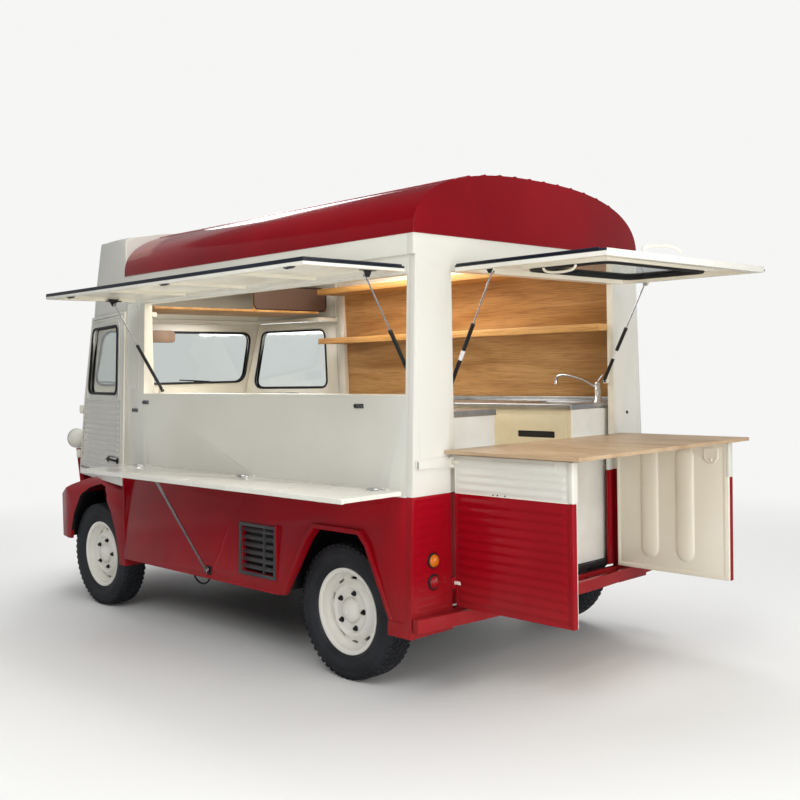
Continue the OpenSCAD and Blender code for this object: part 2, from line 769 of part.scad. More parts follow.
module strut_barrel() {
    translate([0, 0, 14]) cylinder(r = barrel_r, h = 316);
    cylinder(r = 5, h = 20);
}

// Cross eye of a strut, along local X
module strut_eye()
    difference() {
        translate([-7, 0, 0]) rotate([0, 90, 0]) cylinder(r = strut_eye_r, h = 14);
        translate([-10, 0, 0]) rotate([0, 90, 0]) cylinder(r = strut_pin_r + 0.2, h = 20);
    }

module awning_strut_place(x) {
    d = awning_strut_head - awning_strut_foot;
    translate([x, awning_strut_foot[0], awning_strut_foot[1]])
        rotate([-atan2(d[0], d[1]), 0, 0]) children();
}

module gate_strut_place(s) {
    d = gate_strut_head - gate_strut_foot;
    translate([gate_strut_foot[0], s * gate_strut_y, gate_strut_foot[1]])
        rotate([0, atan2(d[0], d[1]), 0]) rotate([0, 0, 90]) children();
}

module barrel_with_eye() {
    difference() {
        union() {
            strut_barrel();
            translate([-7, 0, 0]) rotate([0, 90, 0]) cylinder(r = strut_eye_r, h = 14);
        }
        translate([-10, 0, 0]) rotate([0, 90, 0]) cylinder(r = strut_pin_r + 0.2, h = 20);
        translate([0, 0, 40]) cylinder(r = rod_r + 0.3, h = 400);
    }
}

module rod_with_eye(length) {
    translate([0, 0, 285]) cylinder(r = rod_r, h = length - 285 - 6);
    translate([0, 0, length]) strut_eye();
}

module awning_strut_barrels() truck() color(RUBBER)
    for (x = awning_strut_x) awning_strut_place(x) barrel_with_eye();
module awning_strut_rods() truck() color(STEEL)
    for (x = awning_strut_x) awning_strut_place(x)
        rod_with_eye(norm(awning_strut_head - awning_strut_foot));
module gate_strut_barrels() truck() color(RUBBER)
    for (s = [-1, 1]) gate_strut_place(s) barrel_with_eye();
module gate_strut_rods() truck() color(STEEL)
    for (s = [-1, 1]) gate_strut_place(s) rod_with_eye(norm(gate_strut_head - gate_strut_foot));

// ---- Shelf ----

module serving_shelf() truck() color(CREAM) {
    box(hatch_x0, 1900, shelf_pivot[1] + 7, shelf_pivot[1] + 7 + shelf_depth, shelf_z - shelf_t, shelf_z);
    for (x = hinge_stations) moving_knuckle(x, shelf_pivot, 1);
}

module shelf_stay() truck() color(STEEL) {
    d = [stay_top_y - stay_foot[1], shelf_z - shelf_t - 6 - stay_foot[2]];
    translate([stay_foot[0], stay_foot[1], stay_foot[2]]) rotate([-atan2(d[0], d[1]), 0, 0]) {
        cylinder(r = 8, h = norm(d) - 4);
        translate([0, -10, 0]) rotate([-90, 0, 0]) cylinder(r = 14, h = 20);
    }
}

module sill_lead() truck() color(RUBBER)
    translate([1240, 925, 429.7]) rotate([-90, 0, 0])
        rotate_extrude(angle = 180) translate([105, 0]) circle(r = 5);

// ---- Side vent ----

module side_vent() truck() color(DARK)
    translate([452, side_y(455), 455]) rotate([lean, 0, 0]) {
        difference() {
            translate([0, 0.3, 0]) cube([331, 8, 283]);
            translate([18, -10, 18]) cube([295, 30, 247]);
        }
        for (i = [0 : 5]) translate([18.5, -6, 34 + i * 40]) rotate([30, 0, 0]) cube([294, 3, 24]);
        translate([110, -14, 19]) cube([8, 16, 246]);
    }

// ---- Rear ----

module rear_board() truck() color(OAK)
    box(-1340, rear_x - 6, -740, 745, board_z, board_z + board_t);

module tailgate() truck() color(CREAM) translate(gate_pivot) {
    w = gate_half_w + 20;
    difference() {
        box(-gate_reach, -6, -w, w, -gate_t, 0);
        box(-gate_reach + 45, -45, -w + 36, w - 36, -gate_t - 1, -7);
        gate_window_cut(0);
    }
    // Plates beside the strut heads
    for (s = [-1, 1]) along_y(s * (gate_strut_y + 15) - 3, s * (gate_strut_y + 15) + 3)
        translate(gate_strut_head - [gate_pivot[0], gate_pivot[2]])
            polygon([[-38, 36], [-8, -9], [8, -9], [38, 36]]);
    difference() {
        box(-700, -210, -460, 460, -gate_t + 6, -6);
        gate_window_cut(0);
    }
    for (y = gate_hinge_stations) translate([0, y - 20, 0]) {
        rotate([-90, 0, 0]) cylinder(r = 5, h = 40);
        translate([-10, 0, -3]) cube([10, 40, 3]);
    }
}

module gate_window_cut(grow)
    translate([0, 0, -100]) linear_extrude(200)
        rounded_quad([[-680, 430], [-230, 430], [-230, -430], [-680, -430]], 60, grow);

module tailgate_window() truck() color(GLASS) translate(gate_pivot)
    intersection() {
        gate_window_cut(-0.3);
        box(-800, 0, -600, 600, -18, -13);
    }

module half_door() {
    x0 = half_door_pivot[0] - 5;
    y1 = half_door_pivot[1];
    box(x0 - half_door_w, x0, y1 - half_door_t, y1, half_door_z0, half_door_z1);
    for (z = half_door_hinge_z) {
        translate([half_door_pivot[0], y1, z - 8]) cylinder(r = 4.5, h = 16);
        translate([x0 - 10, y1 - 3, z - 8]) cube([15, 6, 16]);
    }
}

module left_rear_door() truck() color(CREAM) half_door();
module right_rear_door() truck() color(CREAM) mirror([0, 1, 0]) half_door();

chassis_floor();
left_upper_side();
left_lower_side();
right_upper_side();
right_lower_side();
rear_upper_frame();
rear_lower_corners();
roof();
cab_fairing();
cab_frame();
windscreen();
nose_panel();
front_wings();
bumpers();
engine_block();
axles();
oak_lining();
kitchen_counters();
worktops();
mixer_tap();
overhead_shelf();
cab_seats();
side_vent();
rear_board();
headlights();
rear_lamps();
sill_lead();
bonnet();
steering_wheel();
left_knuckle();
right_knuckle();
front_left_tyre();
front_right_tyre();
rear_left_tyre();
rear_right_tyre();
front_left_rim();
front_right_rim();
rear_left_rim();
rear_right_rim();
left_cab_door();
right_cab_door();
left_door_glass();
right_door_glass();
awning();
awning_strut_barrels();
awning_strut_rods();
serving_shelf();
shelf_stay();
tailgate();
tailgate_window();
gate_strut_barrels();
gate_strut_rods();
left_rear_door();
right_rear_door();
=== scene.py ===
"""Food truck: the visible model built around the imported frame."""

import logging
import math
from dataclasses import dataclass
from enum import Enum
from typing import Callable, Optional, Sequence

import bpy
from mathutils import Matrix, Vector


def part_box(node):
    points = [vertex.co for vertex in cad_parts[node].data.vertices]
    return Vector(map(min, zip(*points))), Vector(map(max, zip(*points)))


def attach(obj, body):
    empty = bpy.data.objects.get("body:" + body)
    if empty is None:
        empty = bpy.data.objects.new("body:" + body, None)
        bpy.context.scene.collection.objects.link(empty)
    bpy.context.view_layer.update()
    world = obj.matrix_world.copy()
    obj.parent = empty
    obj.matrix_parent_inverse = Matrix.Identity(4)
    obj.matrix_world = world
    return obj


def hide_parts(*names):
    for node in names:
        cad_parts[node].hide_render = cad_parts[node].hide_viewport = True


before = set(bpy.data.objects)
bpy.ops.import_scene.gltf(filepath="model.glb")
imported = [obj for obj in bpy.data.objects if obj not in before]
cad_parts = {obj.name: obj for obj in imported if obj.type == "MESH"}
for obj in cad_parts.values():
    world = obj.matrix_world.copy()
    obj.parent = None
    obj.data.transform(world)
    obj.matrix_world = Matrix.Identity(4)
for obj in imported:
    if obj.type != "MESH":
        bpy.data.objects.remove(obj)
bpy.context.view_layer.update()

LOG = logging.getLogger("food_truck")
Point2 = tuple[float, float]
Point3 = tuple[float, float, float]
Piece = bpy.types.Object
Socket = bpy.types.NodeSocket
MM = 0.001
UP = Vector((0, 0, 1))
LEFT = Vector((0, 1, 0))
FORWARD = Vector((1, 0, 0))


# ---------------------------------------------------------------- finishes


def linear(hex_colour: str, alpha: float = 1.0) -> tuple[float, float, float, float]:
    """Turns an sRGB hex colour into the linear values that shaders read.

    Args:
        hex_colour: Six hex digits, red first.
        alpha: Opacity, passed through.

    Returns:
        Linear red, green, blue and alpha.
    """
    parts = [int(hex_colour[i : i + 2], 16) / 255 for i in (0, 2, 4)]
    r, g, b = (c / 12.92 if c <= 0.04045 else ((c + 0.055) / 1.055) ** 2.4 for c in parts)
    return (r, g, b, alpha)


def add_node(tree: bpy.types.NodeTree, kind: str, settings: Optional[dict] = None,
        inputs: Optional[dict] = None,) -> bpy.types.Node:
    """Adds one node with its settings, values and links.

    Args:
        tree: The node tree that gets the node.
        kind: The node's Blender type name.
        settings: Attributes set on the node.
        inputs: Socket name or index to a value, or to an output socket that is linked in.

    Returns:
        The new node.
    """
    node = tree.nodes.new(kind)
    for key, value in (settings or {}).items():
        setattr(node, key, value)
    for key, value in (inputs or {}).items():
        if isinstance(value, Socket):
            tree.links.new(value, node.inputs[key])
        else:
            node.inputs[key].default_value = value
    return node


class Coat:
    """A material under construction: its tree, its shader and its output."""

    def __init__(self, name: str) -> None:
        """Starts an empty material called name."""
        self.material = bpy.data.materials.new(name)
        self.material.use_nodes = True
        self.tree = self.material.node_tree
        self.tree.nodes.clear()
        self.shader = add_node(self.tree, "ShaderNodeBsdfPrincipled")
        add_node(self.tree, "ShaderNodeOutputMaterial", inputs={"Surface": self.shader.outputs[0]})
        self.place = add_node(self.tree, "ShaderNodeTexCoord").outputs["Object"]

    def scaled(self, scale: Sequence[float], turn: Sequence[float] = (0, 0, 0)) -> Socket:
        """Object coordinates times a scale, after a turn in radians."""
        return add_node(self.tree, "ShaderNodeMapping", inputs={
            "Vector": self.place, "Scale": scale, "Rotation": turn}).outputs[0]

    def noise(self, scale: Sequence[float], detail: float = 2.0, distortion: float = 0.0,
            turn: Sequence[float] = (0, 0, 0)) -> Socket:
        """A noise value with the given number of features per metre along each axis."""
        return add_node(self.tree, "ShaderNodeTexNoise", inputs={
            "Vector": self.scaled(scale, turn), "Scale": 1.0, "Detail": detail,
            "Distortion": distortion}).outputs[0]

    def ramp(self, value: Socket, stops: Sequence[tuple[float, str]]) -> Socket:
        """Colours a value by hex stops at positions from 0 to 1."""
        node = add_node(self.tree, "ShaderNodeValToRGB", inputs={0: value})
        elements = node.color_ramp.elements
        while len(elements) < len(stops):
            elements.new(0.5)
        for element, (position, colour) in zip(elements, stops):
            element.position = position
            element.color = linear(colour)
        return node.outputs[0]

    def spread(self, value: Socket, low: float, high: float) -> Socket:
        """Maps a value around its middle to the range from low to high."""
        return add_node(self.tree, "ShaderNodeMapRange", inputs={
            0: value, 1: 0.3, 2: 0.7, 3: low, 4: high}).outputs[0]

    def bump(self, value: Socket, strength: float, depth: float, below: Optional[Socket] = None) -> Socket:
        """Raises the surface by value, depth in metres, over an earlier bump."""
        inputs = {"Height": value, "Strength": strength, "Distance": depth}
        if below is not None:
            inputs["Normal"] = below
        return add_node(self.tree, "ShaderNodeBump", inputs=inputs).outputs[0]

    def set(self, **inputs: object) -> bpy.types.Material:
        """Sets or links the shader's sockets, with underscores for spaces.

        Returns:
            The finished material.
        """
        for key, value in inputs.items():
            socket = self.shader.inputs[key.replace("_", " ")]
            if isinstance(value, Socket):
                self.tree.links.new(value, socket)
            else:
                socket.default_value = value
        return self.material


@dataclass(frozen=True)
class Enamel:
    """Sprayed two-pack vehicle enamel over sheet steel: a deep wet gloss with fine orange peel."""

    name: str
    colour: str
    shade: str
    roughness: float = 0.16
    peel: float = 0.10
    lacquer: float = 0.5

    def build(self) -> bpy.types.Material:
        """Builds the paint: slow colour drift, road film low down and a clear coat."""
        coat = Coat(self.name)
        drift = coat.noise((1.3, 1.3, 1.3), 4.0)
        base = coat.ramp(drift, [(0.30, self.shade), (0.62, self.colour)])
        height = add_node(coat.tree, "ShaderNodeSeparateXYZ", inputs={0: coat.place}).outputs[2]
        film = add_node(coat.tree, "ShaderNodeMapRange", inputs={
            0: height, 1: 0.30, 2: 0.62, 3: 0.16, 4: 0.0}).outputs[0]
        patchy = add_node(coat.tree, "ShaderNodeMath", {"operation": "MULTIPLY"}, {
            0: film, 1: coat.noise((9, 9, 5), 5.0)}).outputs[0]
        dusty = add_node(coat.tree, "ShaderNodeMix", {"data_type": "RGBA"}, {
            0: patchy, 6: base, 7: linear("8C8478")}).outputs[2]
        # Orange peel cells are about 1.5 mm; 4 mm is used so that they show
        peel = coat.noise((250, 250, 250), 1.0)
        wave = coat.noise((5, 5, 5), 1.0)
        normal = coat.bump(peel, self.peel, 0.0004, coat.bump(wave, 0.25, 0.002))
        return coat.set(Base_Color=dusty, Roughness=coat.spread(drift, self.roughness, self.roughness + 0.08),
            Coat_Weight=self.lacquer, Coat_Roughness=0.04, Specular_IOR_Level=self.lacquer * 0.8,
            Normal=normal)


@dataclass(frozen=True)
class OakVeneer:
    """Oiled oak veneer or board: flowing flame figure, dark pores along the grain."""

    name: str
    light: str
    middle: str
    dark: str
    gloss: float = 0.42
    along: Point3 = (0.9, 7.0, 7.0)

    def build(self) -> bpy.types.Material:
        """Builds the figure from stretched, distorted noise, and pores about 1 mm wide."""
        coat = Coat(self.name)
        flame = coat.noise(self.along, 5.0, 1.4)
        body = coat.ramp(flame, [(0.28, self.dark), (0.46, self.middle), (0.68, self.light)])
        x, y, z = self.along
        pores = coat.noise((x * 7, y * 55, z * 55), 3.0)
        streak = coat.ramp(pores, [(0.36, "8A6234"), (0.50, "FFFFFF")])
        colour = add_node(coat.tree, "ShaderNodeMix", {"data_type": "RGBA", "blend_type": "MULTIPLY"}, {
            0: 0.45, 6: body, 7: streak}).outputs[2]
        return coat.set(Base_Color=colour, Roughness=coat.spread(pores, self.gloss + 0.12, self.gloss),
            Normal=coat.bump(pores, 0.35, 0.0005))


@dataclass(frozen=True)
class Moulded:
    """Plastic, rubber or vinyl from a mould: one colour with a fine grain that breaks the sheen."""

    name: str
    colour: str
    shade: str
    roughness: float
    grain: float = 400.0
    depth: float = 0.0004
    sheen: float = 0.0

    def build(self) -> bpy.types.Material:
        """Builds the colour drift and the grain, given in features per metre."""
        coat = Coat(self.name)
        drift = coat.noise((6, 6, 6), 4.0)
        grain = coat.noise((self.grain,) * 3, 2.0)
        return coat.set(Base_Color=coat.ramp(drift, [(0.32, self.shade), (0.65, self.colour)]),
            Roughness=coat.spread(grain, self.roughness, self.roughness + 0.12), Sheen_Weight=self.sheen,
            Normal=coat.bump(grain, 0.4, self.depth))


@dataclass(frozen=True)
class BareMetal:
    """Rolled, brushed or plated metal: fine lines along one axis, and small stains."""

    name: str
    colour: str
    shade: str
    roughness: float
    brush: Point3 = (8.0, 900.0, 900.0)
    depth: float = 0.0001

    def build(self) -> bpy.types.Material:
        """Builds the brushed lines; a real brush line is 0.1 mm, drawn here at about 1 mm."""
        coat = Coat(self.name)
        lines = coat.noise(self.brush, 2.0)
        stain = coat.noise((11, 11, 11), 4.0)
        return coat.set(Base_Color=coat.ramp(stain, [(0.30, self.shade), (0.62, self.colour)]), Metallic=1.0,
            Roughness=coat.spread(lines, self.roughness, self.roughness + 0.12), Normal=coat.bump(lines,
            0.3, self.depth))


@dataclass(frozen=True)
class ClearPane:
    """Toughened safety glass or a cast lamp lens: clear, smooth and slightly tinted."""

    name: str
    colour: str
    roughness: float = 0.02
    ior: float = 1.5
    ribs: float = 0.0
    clear: float = 1.0

    def build(self) -> bpy.types.Material:
        """Builds the clear body, with moulded ribs at the given number per metre."""
        coat = Coat(self.name)
        smear = coat.noise((14, 14, 14), 3.0)
        normal = coat.bump(smear, 0.05, 0.0003)
        if self.ribs:
            wave = add_node(coat.tree, "ShaderNodeTexWave", {"bands_direction": "Y"}, {
                "Vector": coat.scaled((1, 1, 1)), "Scale": self.ribs}).outputs["Fac"]
            normal = coat.bump(wave, 0.5, 0.002, normal)
        return coat.set(Base_Color=linear(self.colour), Transmission_Weight=self.clear, IOR=self.ior,
            Roughness=coat.spread(smear, self.roughness, self.roughness + 0.03), Normal=normal)


@dataclass(frozen=True)
class PerforatedSheet:
    """Punched steel sheet with brown paint. Its 9 mm grid of holes is drawn at 12 mm, to show."""

    name: str
    colour: str
    hole: str
    pitch: float = 0.012

    def build(self) -> bpy.types.Material:
        """Builds the holes from a regular cell pattern in the sheet's Y and Z."""
        coat = Coat(self.name)
        cells = add_node(coat.tree, "ShaderNodeTexVoronoi", inputs={
            "Vector": coat.scaled((0.0, 1 / self.pitch, 1 / self.pitch), (math.radians(45), 0, 0)),
            "Scale": 1.0, "Randomness": 0.0}).outputs["Distance"]
        colour = coat.ramp(cells, [(0.26, self.hole), (0.34, self.colour)])
        return coat.set(Base_Color=colour, Roughness=0.45, Normal=coat.bump(cells, 0.6, 0.002))


class Finish(Enum):
    """Every finish on the truck, each with the record's slot that it belongs to."""

    CREAM = ("cream_paint", Enamel("cream_vehicle_enamel", "DFDED5", "D6D4C9"))
    RED = ("red_paint", Enamel("wine_red_vehicle_enamel", "980A19", "840713", 0.10, 0.10, 0.18))
    ROOF_RED = ("red_paint", Enamel("roof_red_enamel", "8A0917", "760612", 0.10, 0.10, 0.2))
    DOOR_CREAM = ("cream_paint", Enamel("polished_cream_enamel", "D2D0C6", "C6C3B6", 0.07, 0.2, 1.0))
    # Inner cream: a warm cream for faces inside openings and under panels, lightened as painted light for the
    # shade these faces lie in.
    INNER_CREAM_PAINTED_LIGHT = ("cream_paint", Enamel("inner_cream_enamel", "F3EEDF", "EAE3D0", 0.30, 0.05))
    # Wheel cream: the wheels' cream paint, whitened as painted light to stand for the bright light on them.
    WHEEL_CREAM = ("wheel_paint", Enamel("wheel_cream_enamel", "F2F0E8", "E6E3D8", 0.24))
    # Hatch cream: the hatch panels' whiter cream, lightened further as painted light so that their shaded faces
    # read bright.
    HATCH_CREAM_PAINTED_LIGHT = ("hatch_paint", Enamel("hatch_cream_enamel", "EDEBE2", "E4E1D5", 0.22))
    UNDERBODY = ("chassis_black", Moulded("underbody_wax", "17171A", "0E0E10", 0.55, 120, 0.0012))
    GLASS = ("window_glass", ClearPane("toughened_glass", "D2D8D6"))
    RUBBER = ("tyre_rubber", Moulded("tyre_rubber_compound", "2A2C31", "1D1F23", 0.55, 260, 0.0006))
    OAK = ("oak", OakVeneer("oiled_oak_veneer", "DDAA6C", "CC9757", "B57E42"))
    OAK_EDGE = ("oak", OakVeneer("oiled_oak_board", "DDAA66", "CB9450", "B57D3B"))
    BOARD = ("board_ply", OakVeneer("varnished_beech_ply", "CDB391", "BFA382", "AE906D", 0.34,
        (1.2, 5.0, 9.0)))
    LAMINATE = ("cabinet_laminate", Moulded("cream_laminate", "DCCFAF", "D3C5A3", 0.38, 500, 0.0002))
    PALE_LAMINATE = ("cabinet_laminate", Moulded("white_laminate", "E4E2DA", "DAD8CF", 0.34, 500, 0.0002))
    WORKTOP = ("worktop_steel", BareMetal("brushed_stainless", "C9CACB", "B5B6B8", 0.26))
    VISOR = ("board_ply", Moulded("brown_visor_vinyl", "8A6F58", "7A604B", 0.55, 600, 0.0004))
    CATCH = ("tap_chrome", BareMetal("dulled_zinc_catch", "77787B", "5C5D60", 0.22, (60, 60, 60), 0.00005))
    CHROME = ("tap_chrome", BareMetal("bright_chrome", "E6E6E8", "D2D3D6", 0.07, (60, 60, 60), 0.00002))
    SEAT = ("seat_vinyl", Moulded("black_seat_vinyl", "232325", "19191B", 0.48, 700, 0.0008, 0.2))
    VENT = ("vent_plastic", Moulded("grey_vent_plastic", "4A4A4C", "3A3A3C", 0.30))
    AMBER = ("lamp_lens", ClearPane("amber_lamp_acrylic", "E87A12", 0.06, 1.49, 60.0, 0.25))
    RED_LENS = ("lamp_lens", ClearPane("red_lamp_acrylic", "A00E1C", 0.06, 1.49, 60.0, 0.25))
    CLEAR_LENS = ("lamp_lens", ClearPane("clear_lamp_glass", "F4F6F4", 0.03, 1.5, 45.0))
    BLACK = ("black_plastic", Moulded("black_rubber_trim", "141416", "0D0D0F", 0.5, 500, 0.0003))
    NAVY = ("black_plastic", Moulded("navy_edge_seal", "1B2130", "131824", 0.32, 300, 0.0003))
    STRUT = ("strut_black", Moulded("black_cylinder_paint", "131314", "0C0C0D", 0.28, 500, 0.0001))
    LABEL = ("strut_black", Moulded("white_tape_band", "DEDEDC", "CFCFCD", 0.4, 500, 0.0001))
    ROD = ("strut_steel", BareMetal("bright_steel_rod", "CDCED0", "B8B9BC", 0.16, (900, 900, 10)))
    PERFORATED = ("black_plastic", PerforatedSheet("brown_perforated_steel", "6E5344", "1E1512"))

    def __init__(self, slot: str, recipe: object) -> None:
        """Keeps the slot and the recipe of one finish."""
        self.slot = slot
        self.recipe = recipe

    @property
    def material(self) -> bpy.types.Material:
        """The material, built the first time it is asked for."""
        found = bpy.data.materials.get(self.recipe.name)
        return found or self.recipe.build()


# ---------------------------------------------------------------- modelling


class Plane(Enum):
    """The plane that an outline is drawn in; its solid grows along the third axis."""

    XY = ((0, 1), 2)
    XZ = ((0, 2), 1)
    YZ = ((1, 2), 0)

    def lift(self, point: Point2, depth: float) -> Vector:
        """Places a flat point at a depth along the third axis."""
        (a, b), c = self.value
        place = Vector((0, 0, 0))
        place[a], place[b], place[c] = point[0], point[1], depth
        return place

    @property
    def normal(self) -> Vector:
        """The unit vector along the third axis."""
        return self.lift((0, 0), 1.0)


@dataclass(frozen=True)
class Datum:
    """The vehicle's own zero: rear axle, middle plane and ground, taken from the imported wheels."""

    axle_x: float
    middle_y: float

    @classmethod
    def from_frame(cls) -> "Datum":
        """Measures the datum from the two rear tyres."""
        left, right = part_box("rear_left_tyre"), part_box("rear_right_tyre")
        return cls((left[0].x + left[1].x) / 2, (left[1].y + right[0].y) / 2)

    def at(self, x: float, y: float, z: float) -> Vector:
        """A place given in vehicle millimetres, in the frame's metres."""
        return Vector((x * MM + self.axle_x, y * MM + self.middle_y, z * MM))


DATUM = Datum.from_frame()
LEAN = 0.042


def side_y(z: float) -> float:
    """Half width of the body's outer face at height z, in millimetres."""
    return 985 - (z - 300) * LEAN


def round_loop(corners: Sequence[Point2], radius: float, steps: int = 6) -> list[Point2]:
    """Rounds the corners of a flat shape.

    Args:
        corners: The corner points in order.
        radius: Corner radius in the same unit.
        steps: Straight pieces in each corner.

    Returns:
        The points of the rounded shape.
    """
    loop: list[Point2] = []
    count = len(corners)
    for i in range(count):
        here = Vector(corners[i])
        before = (Vector(corners[i - 1]) - here).normalized()
        after = (Vector(corners[(i + 1) % count]) - here).normalized()
        half = max(before.angle(after) / 2, 0.05)
        reach = radius / math.tan(half)
        for k in range(steps + 1):
            t = k / steps
            a, b = here + before * reach, here + after * reach
            p = a.lerp(here, t).lerp(here.lerp(b, t), t)
            loop.append((p.x, p.y))
    return loop


class Bench:
    """Modelling steps that every sub-assembly shares."""

    @staticmethod
    def clear() -> None:
        """Leaves edit mode and deselects everything."""
        if bpy.context.mode != "OBJECT":
            bpy.ops.object.mode_set(mode="OBJECT")
        bpy.ops.object.select_all(action="DESELECT")

    @staticmethod
    def pick(obj: Piece) -> None:
        """Makes obj the only selected and the active object."""
        Bench.clear()
        obj.select_set(True)
        bpy.context.view_layer.objects.active = obj

    @staticmethod
    def apply(obj: Piece, kind: str, **settings: object) -> None:
        """Adds a modifier with its settings and applies it."""
        Bench.pick(obj)
        modifier = obj.modifiers.new(kind.lower(), kind)
        for key, value in settings.items():
            setattr(modifier, key, value)
        bpy.ops.object.modifier_apply(modifier=modifier.name)

    @staticmethod
    def merge(obj: Piece, outward: bool = True, distance: float = 2e-5) -> None:
        """Merges doubled points and turns the faces outward."""
        Bench.pick(obj)
        bpy.ops.object.mode_set(mode="EDIT")
        bpy.ops.mesh.select_all(action="SELECT")
        bpy.ops.mesh.remove_doubles(threshold=distance)
        if outward:
            bpy.ops.mesh.normals_make_consistent(inside=False)
        bpy.ops.object.mode_set(mode="OBJECT")

    @staticmethod
    def bevel(obj: Piece, width: float, segments: int = 2, angle: float = 32) -> None:
        """Rounds the edges sharper than angle degrees by width millimetres."""
        Bench.apply(obj, "BEVEL", width=width * MM, segments=segments, limit_method="ANGLE",
            angle_limit=math.radians(angle), use_clamp_overlap=True)

    @staticmethod
    def slab(name: str, outline: Sequence[Point2], plane: Plane, low: float, high: float, bevel: float = 0.0,
            segments: int = 2) -> Piece:
        """Extrudes a flat outline, in vehicle millimetres, between two depths.

        Args:
            name: The new object's name.
            outline: Points in the plane, in order.
            plane: The plane of the outline.
            low: Depth of the first face.
            high: Depth of the second face.
            bevel: Edge rounding in millimetres.
            segments: Pieces in the rounding.

        Returns:
            The closed solid.
        """
        Bench.clear()
        bpy.ops.mesh.primitive_circle_add(vertices=len(outline), fill_type="NGON")
        obj = bpy.context.object
        obj.name = obj.data.name = name
        for vertex, point in zip(obj.data.vertices, outline):
            vertex.co = DATUM.at(*plane.lift(point, low))
        bpy.ops.object.mode_set(mode="EDIT")
        bpy.ops.mesh.select_all(action="SELECT")
        bpy.ops.mesh.extrude_region_move(
            TRANSFORM_OT_translate={"value": plane.normal * (high - low) * MM})
        bpy.ops.mesh.select_all(action="SELECT")
        bpy.ops.mesh.normals_make_consistent(inside=False)
        bpy.ops.object.mode_set(mode="OBJECT")
        if bevel:
            Bench.bevel(obj, bevel, segments)
        return obj

    @staticmethod
    def box(name: str, x: Point2, y: Point2, z: Point2, bevel: float = 2.0, segments: int = 2) -> Piece:
        """A block between two limits on each axis, with rounded edges."""
        outline = [(x[0], y[0]), (x[1], y[0]), (x[1], y[1]), (x[0], y[1])]
        return Bench.slab(name, outline, Plane.XY, z[0], z[1], bevel, segments)

    @staticmethod
    def turned(name: str, profile: Sequence[Point2], centre: Vector, axis: Vector, steps: int = 48,
            closed: bool = False) -> Piece:
        """Spins a profile of (radius, height) points, in millimetres, about an axis.

        Args:
            name: The new object's name.
            profile: Radius and height of each point; the ends may lie on the axis.
            centre: The place of height zero, in metres.
            axis: The turning axis, along which height grows.
            steps: Pieces round the circle.
            closed: True where the profile's last point joins its first.

        Returns:
            The turned solid.
        """
        Bench.clear()
        bpy.ops.mesh.primitive_circle_add(vertices=len(profile), fill_type="NOTHING")
        obj = bpy.context.object
        obj.name = obj.data.name = name
        up = axis.normalized()
        out = up.orthogonal().normalized()
        for vertex, (radius, height) in zip(obj.data.vertices, profile):
            vertex.co = centre + out * radius * MM + up * height * MM
        bpy.ops.object.mode_set(mode="EDIT")
        if not closed:
            bpy.ops.mesh.select_all(action="DESELECT")
            bpy.ops.object.mode_set(mode="OBJECT")
            last = len(profile) - 1
            for edge in obj.data.edges:
                edge.select = set(edge.vertices) == {0, last}
            bpy.ops.object.mode_set(mode="EDIT")
            bpy.ops.mesh.select_mode(type="EDGE")
            bpy.ops.mesh.delete(type="EDGE")
            bpy.ops.mesh.select_mode(type="VERT")
        bpy.ops.mesh.select_all(action="SELECT")
        bpy.ops.mesh.spin(steps=steps, angle=math.tau, center=centre, axis=up)
        bpy.ops.object.mode_set(mode="OBJECT")
        Bench.merge(obj)
        return obj

    @staticmethod
    def tube(name: str, points: Sequence[Vector], radius: float, closed: bool = False, sides: int = 3,
            smooth: bool = False) -> Piece:
        """A round bar or gasket of a radius in millimetres along places in metres."""
        Bench.clear()
        curve = bpy.data.curves.new(name, "CURVE")
        curve.dimensions = "3D"
        curve.bevel_depth = radius * MM
        curve.bevel_resolution = sides
        curve.use_fill_caps = True
        kind = "NURBS" if smooth else "POLY"
        spline = curve.splines.new(kind)
        spline.points.add(len(points) - 1)
        for knot, place in zip(spline.points, points):
            knot.co = (*place, 1.0)
        spline.use_cyclic_u = closed
        if smooth:
            spline.use_endpoint_u = not closed
            spline.order_u = 3
            curve.resolution_u = 6
        obj = bpy.data.objects.new(name, curve)
        bpy.context.scene.collection.objects.link(obj)
        Bench.pick(obj)
        bpy.ops.object.convert(target="MESH")
        obj = bpy.context.object
        obj.name = obj.data.name = name
        Bench.merge(obj)
        return obj

    @staticmethod
    def sheet(name: str, corners: Sequence[Vector], cells: tuple[int, int], height: Callable[[float, float],
            float], thickness: float = 1.5) -> Piece:
        """A pressed sheet: a fine grid between four corners, raised by a height function.

        Args:
            name: The new object's name.
            corners: Four places in metres, counter-clockwise as seen from the raised side.
            cells: Grid cells from the first to the second corner, and to the fourth.
            height: Gives the rise in millimetres for fractions along and across.
            thickness: Sheet thickness in millimetres, below the raised face.

        Returns:
            The sheet with its thickness.
        """
        a, b, c, d = corners
        normal = (b - a).cross(d - a).normalized()
        Bench.clear()
        bpy.ops.mesh.primitive_grid_add(x_subdivisions=cells[0], y_subdivisions=cells[1], size=1)
        obj = bpy.context.object
        obj.name = obj.data.name = name
        for vertex in obj.data.vertices:
            u, v = vertex.co.x + 0.5, vertex.co.y + 0.5
            vertex.co = a.lerp(b, u).lerp(d.lerp(c, u), v) + normal * height(u, v) * MM
        Bench.apply(obj, "SOLIDIFY", thickness=thickness * MM, offset=-1.0)
        return obj

    @staticmethod
    def cut(obj: Piece, *cutters: Piece) -> Piece:
        """Takes the cutters' shapes out of obj and removes them."""
        for cutter in cutters:
            Bench.apply(obj, "BOOLEAN", operation="DIFFERENCE", object=cutter, solver="EXACT")
            bpy.data.objects.remove(cutter)
        return obj

    @staticmethod
    def join(name: str, parts: Sequence[Piece]) -> Piece:
        """Joins parts into one object called name."""
        Bench.clear()
        for part in parts:
            part.select_set(True)
        bpy.context.view_layer.objects.active = parts[0]
        if len(parts) > 1:
            bpy.ops.object.join()
        obj = bpy.context.object
        obj.name = obj.data.name = name
        return obj

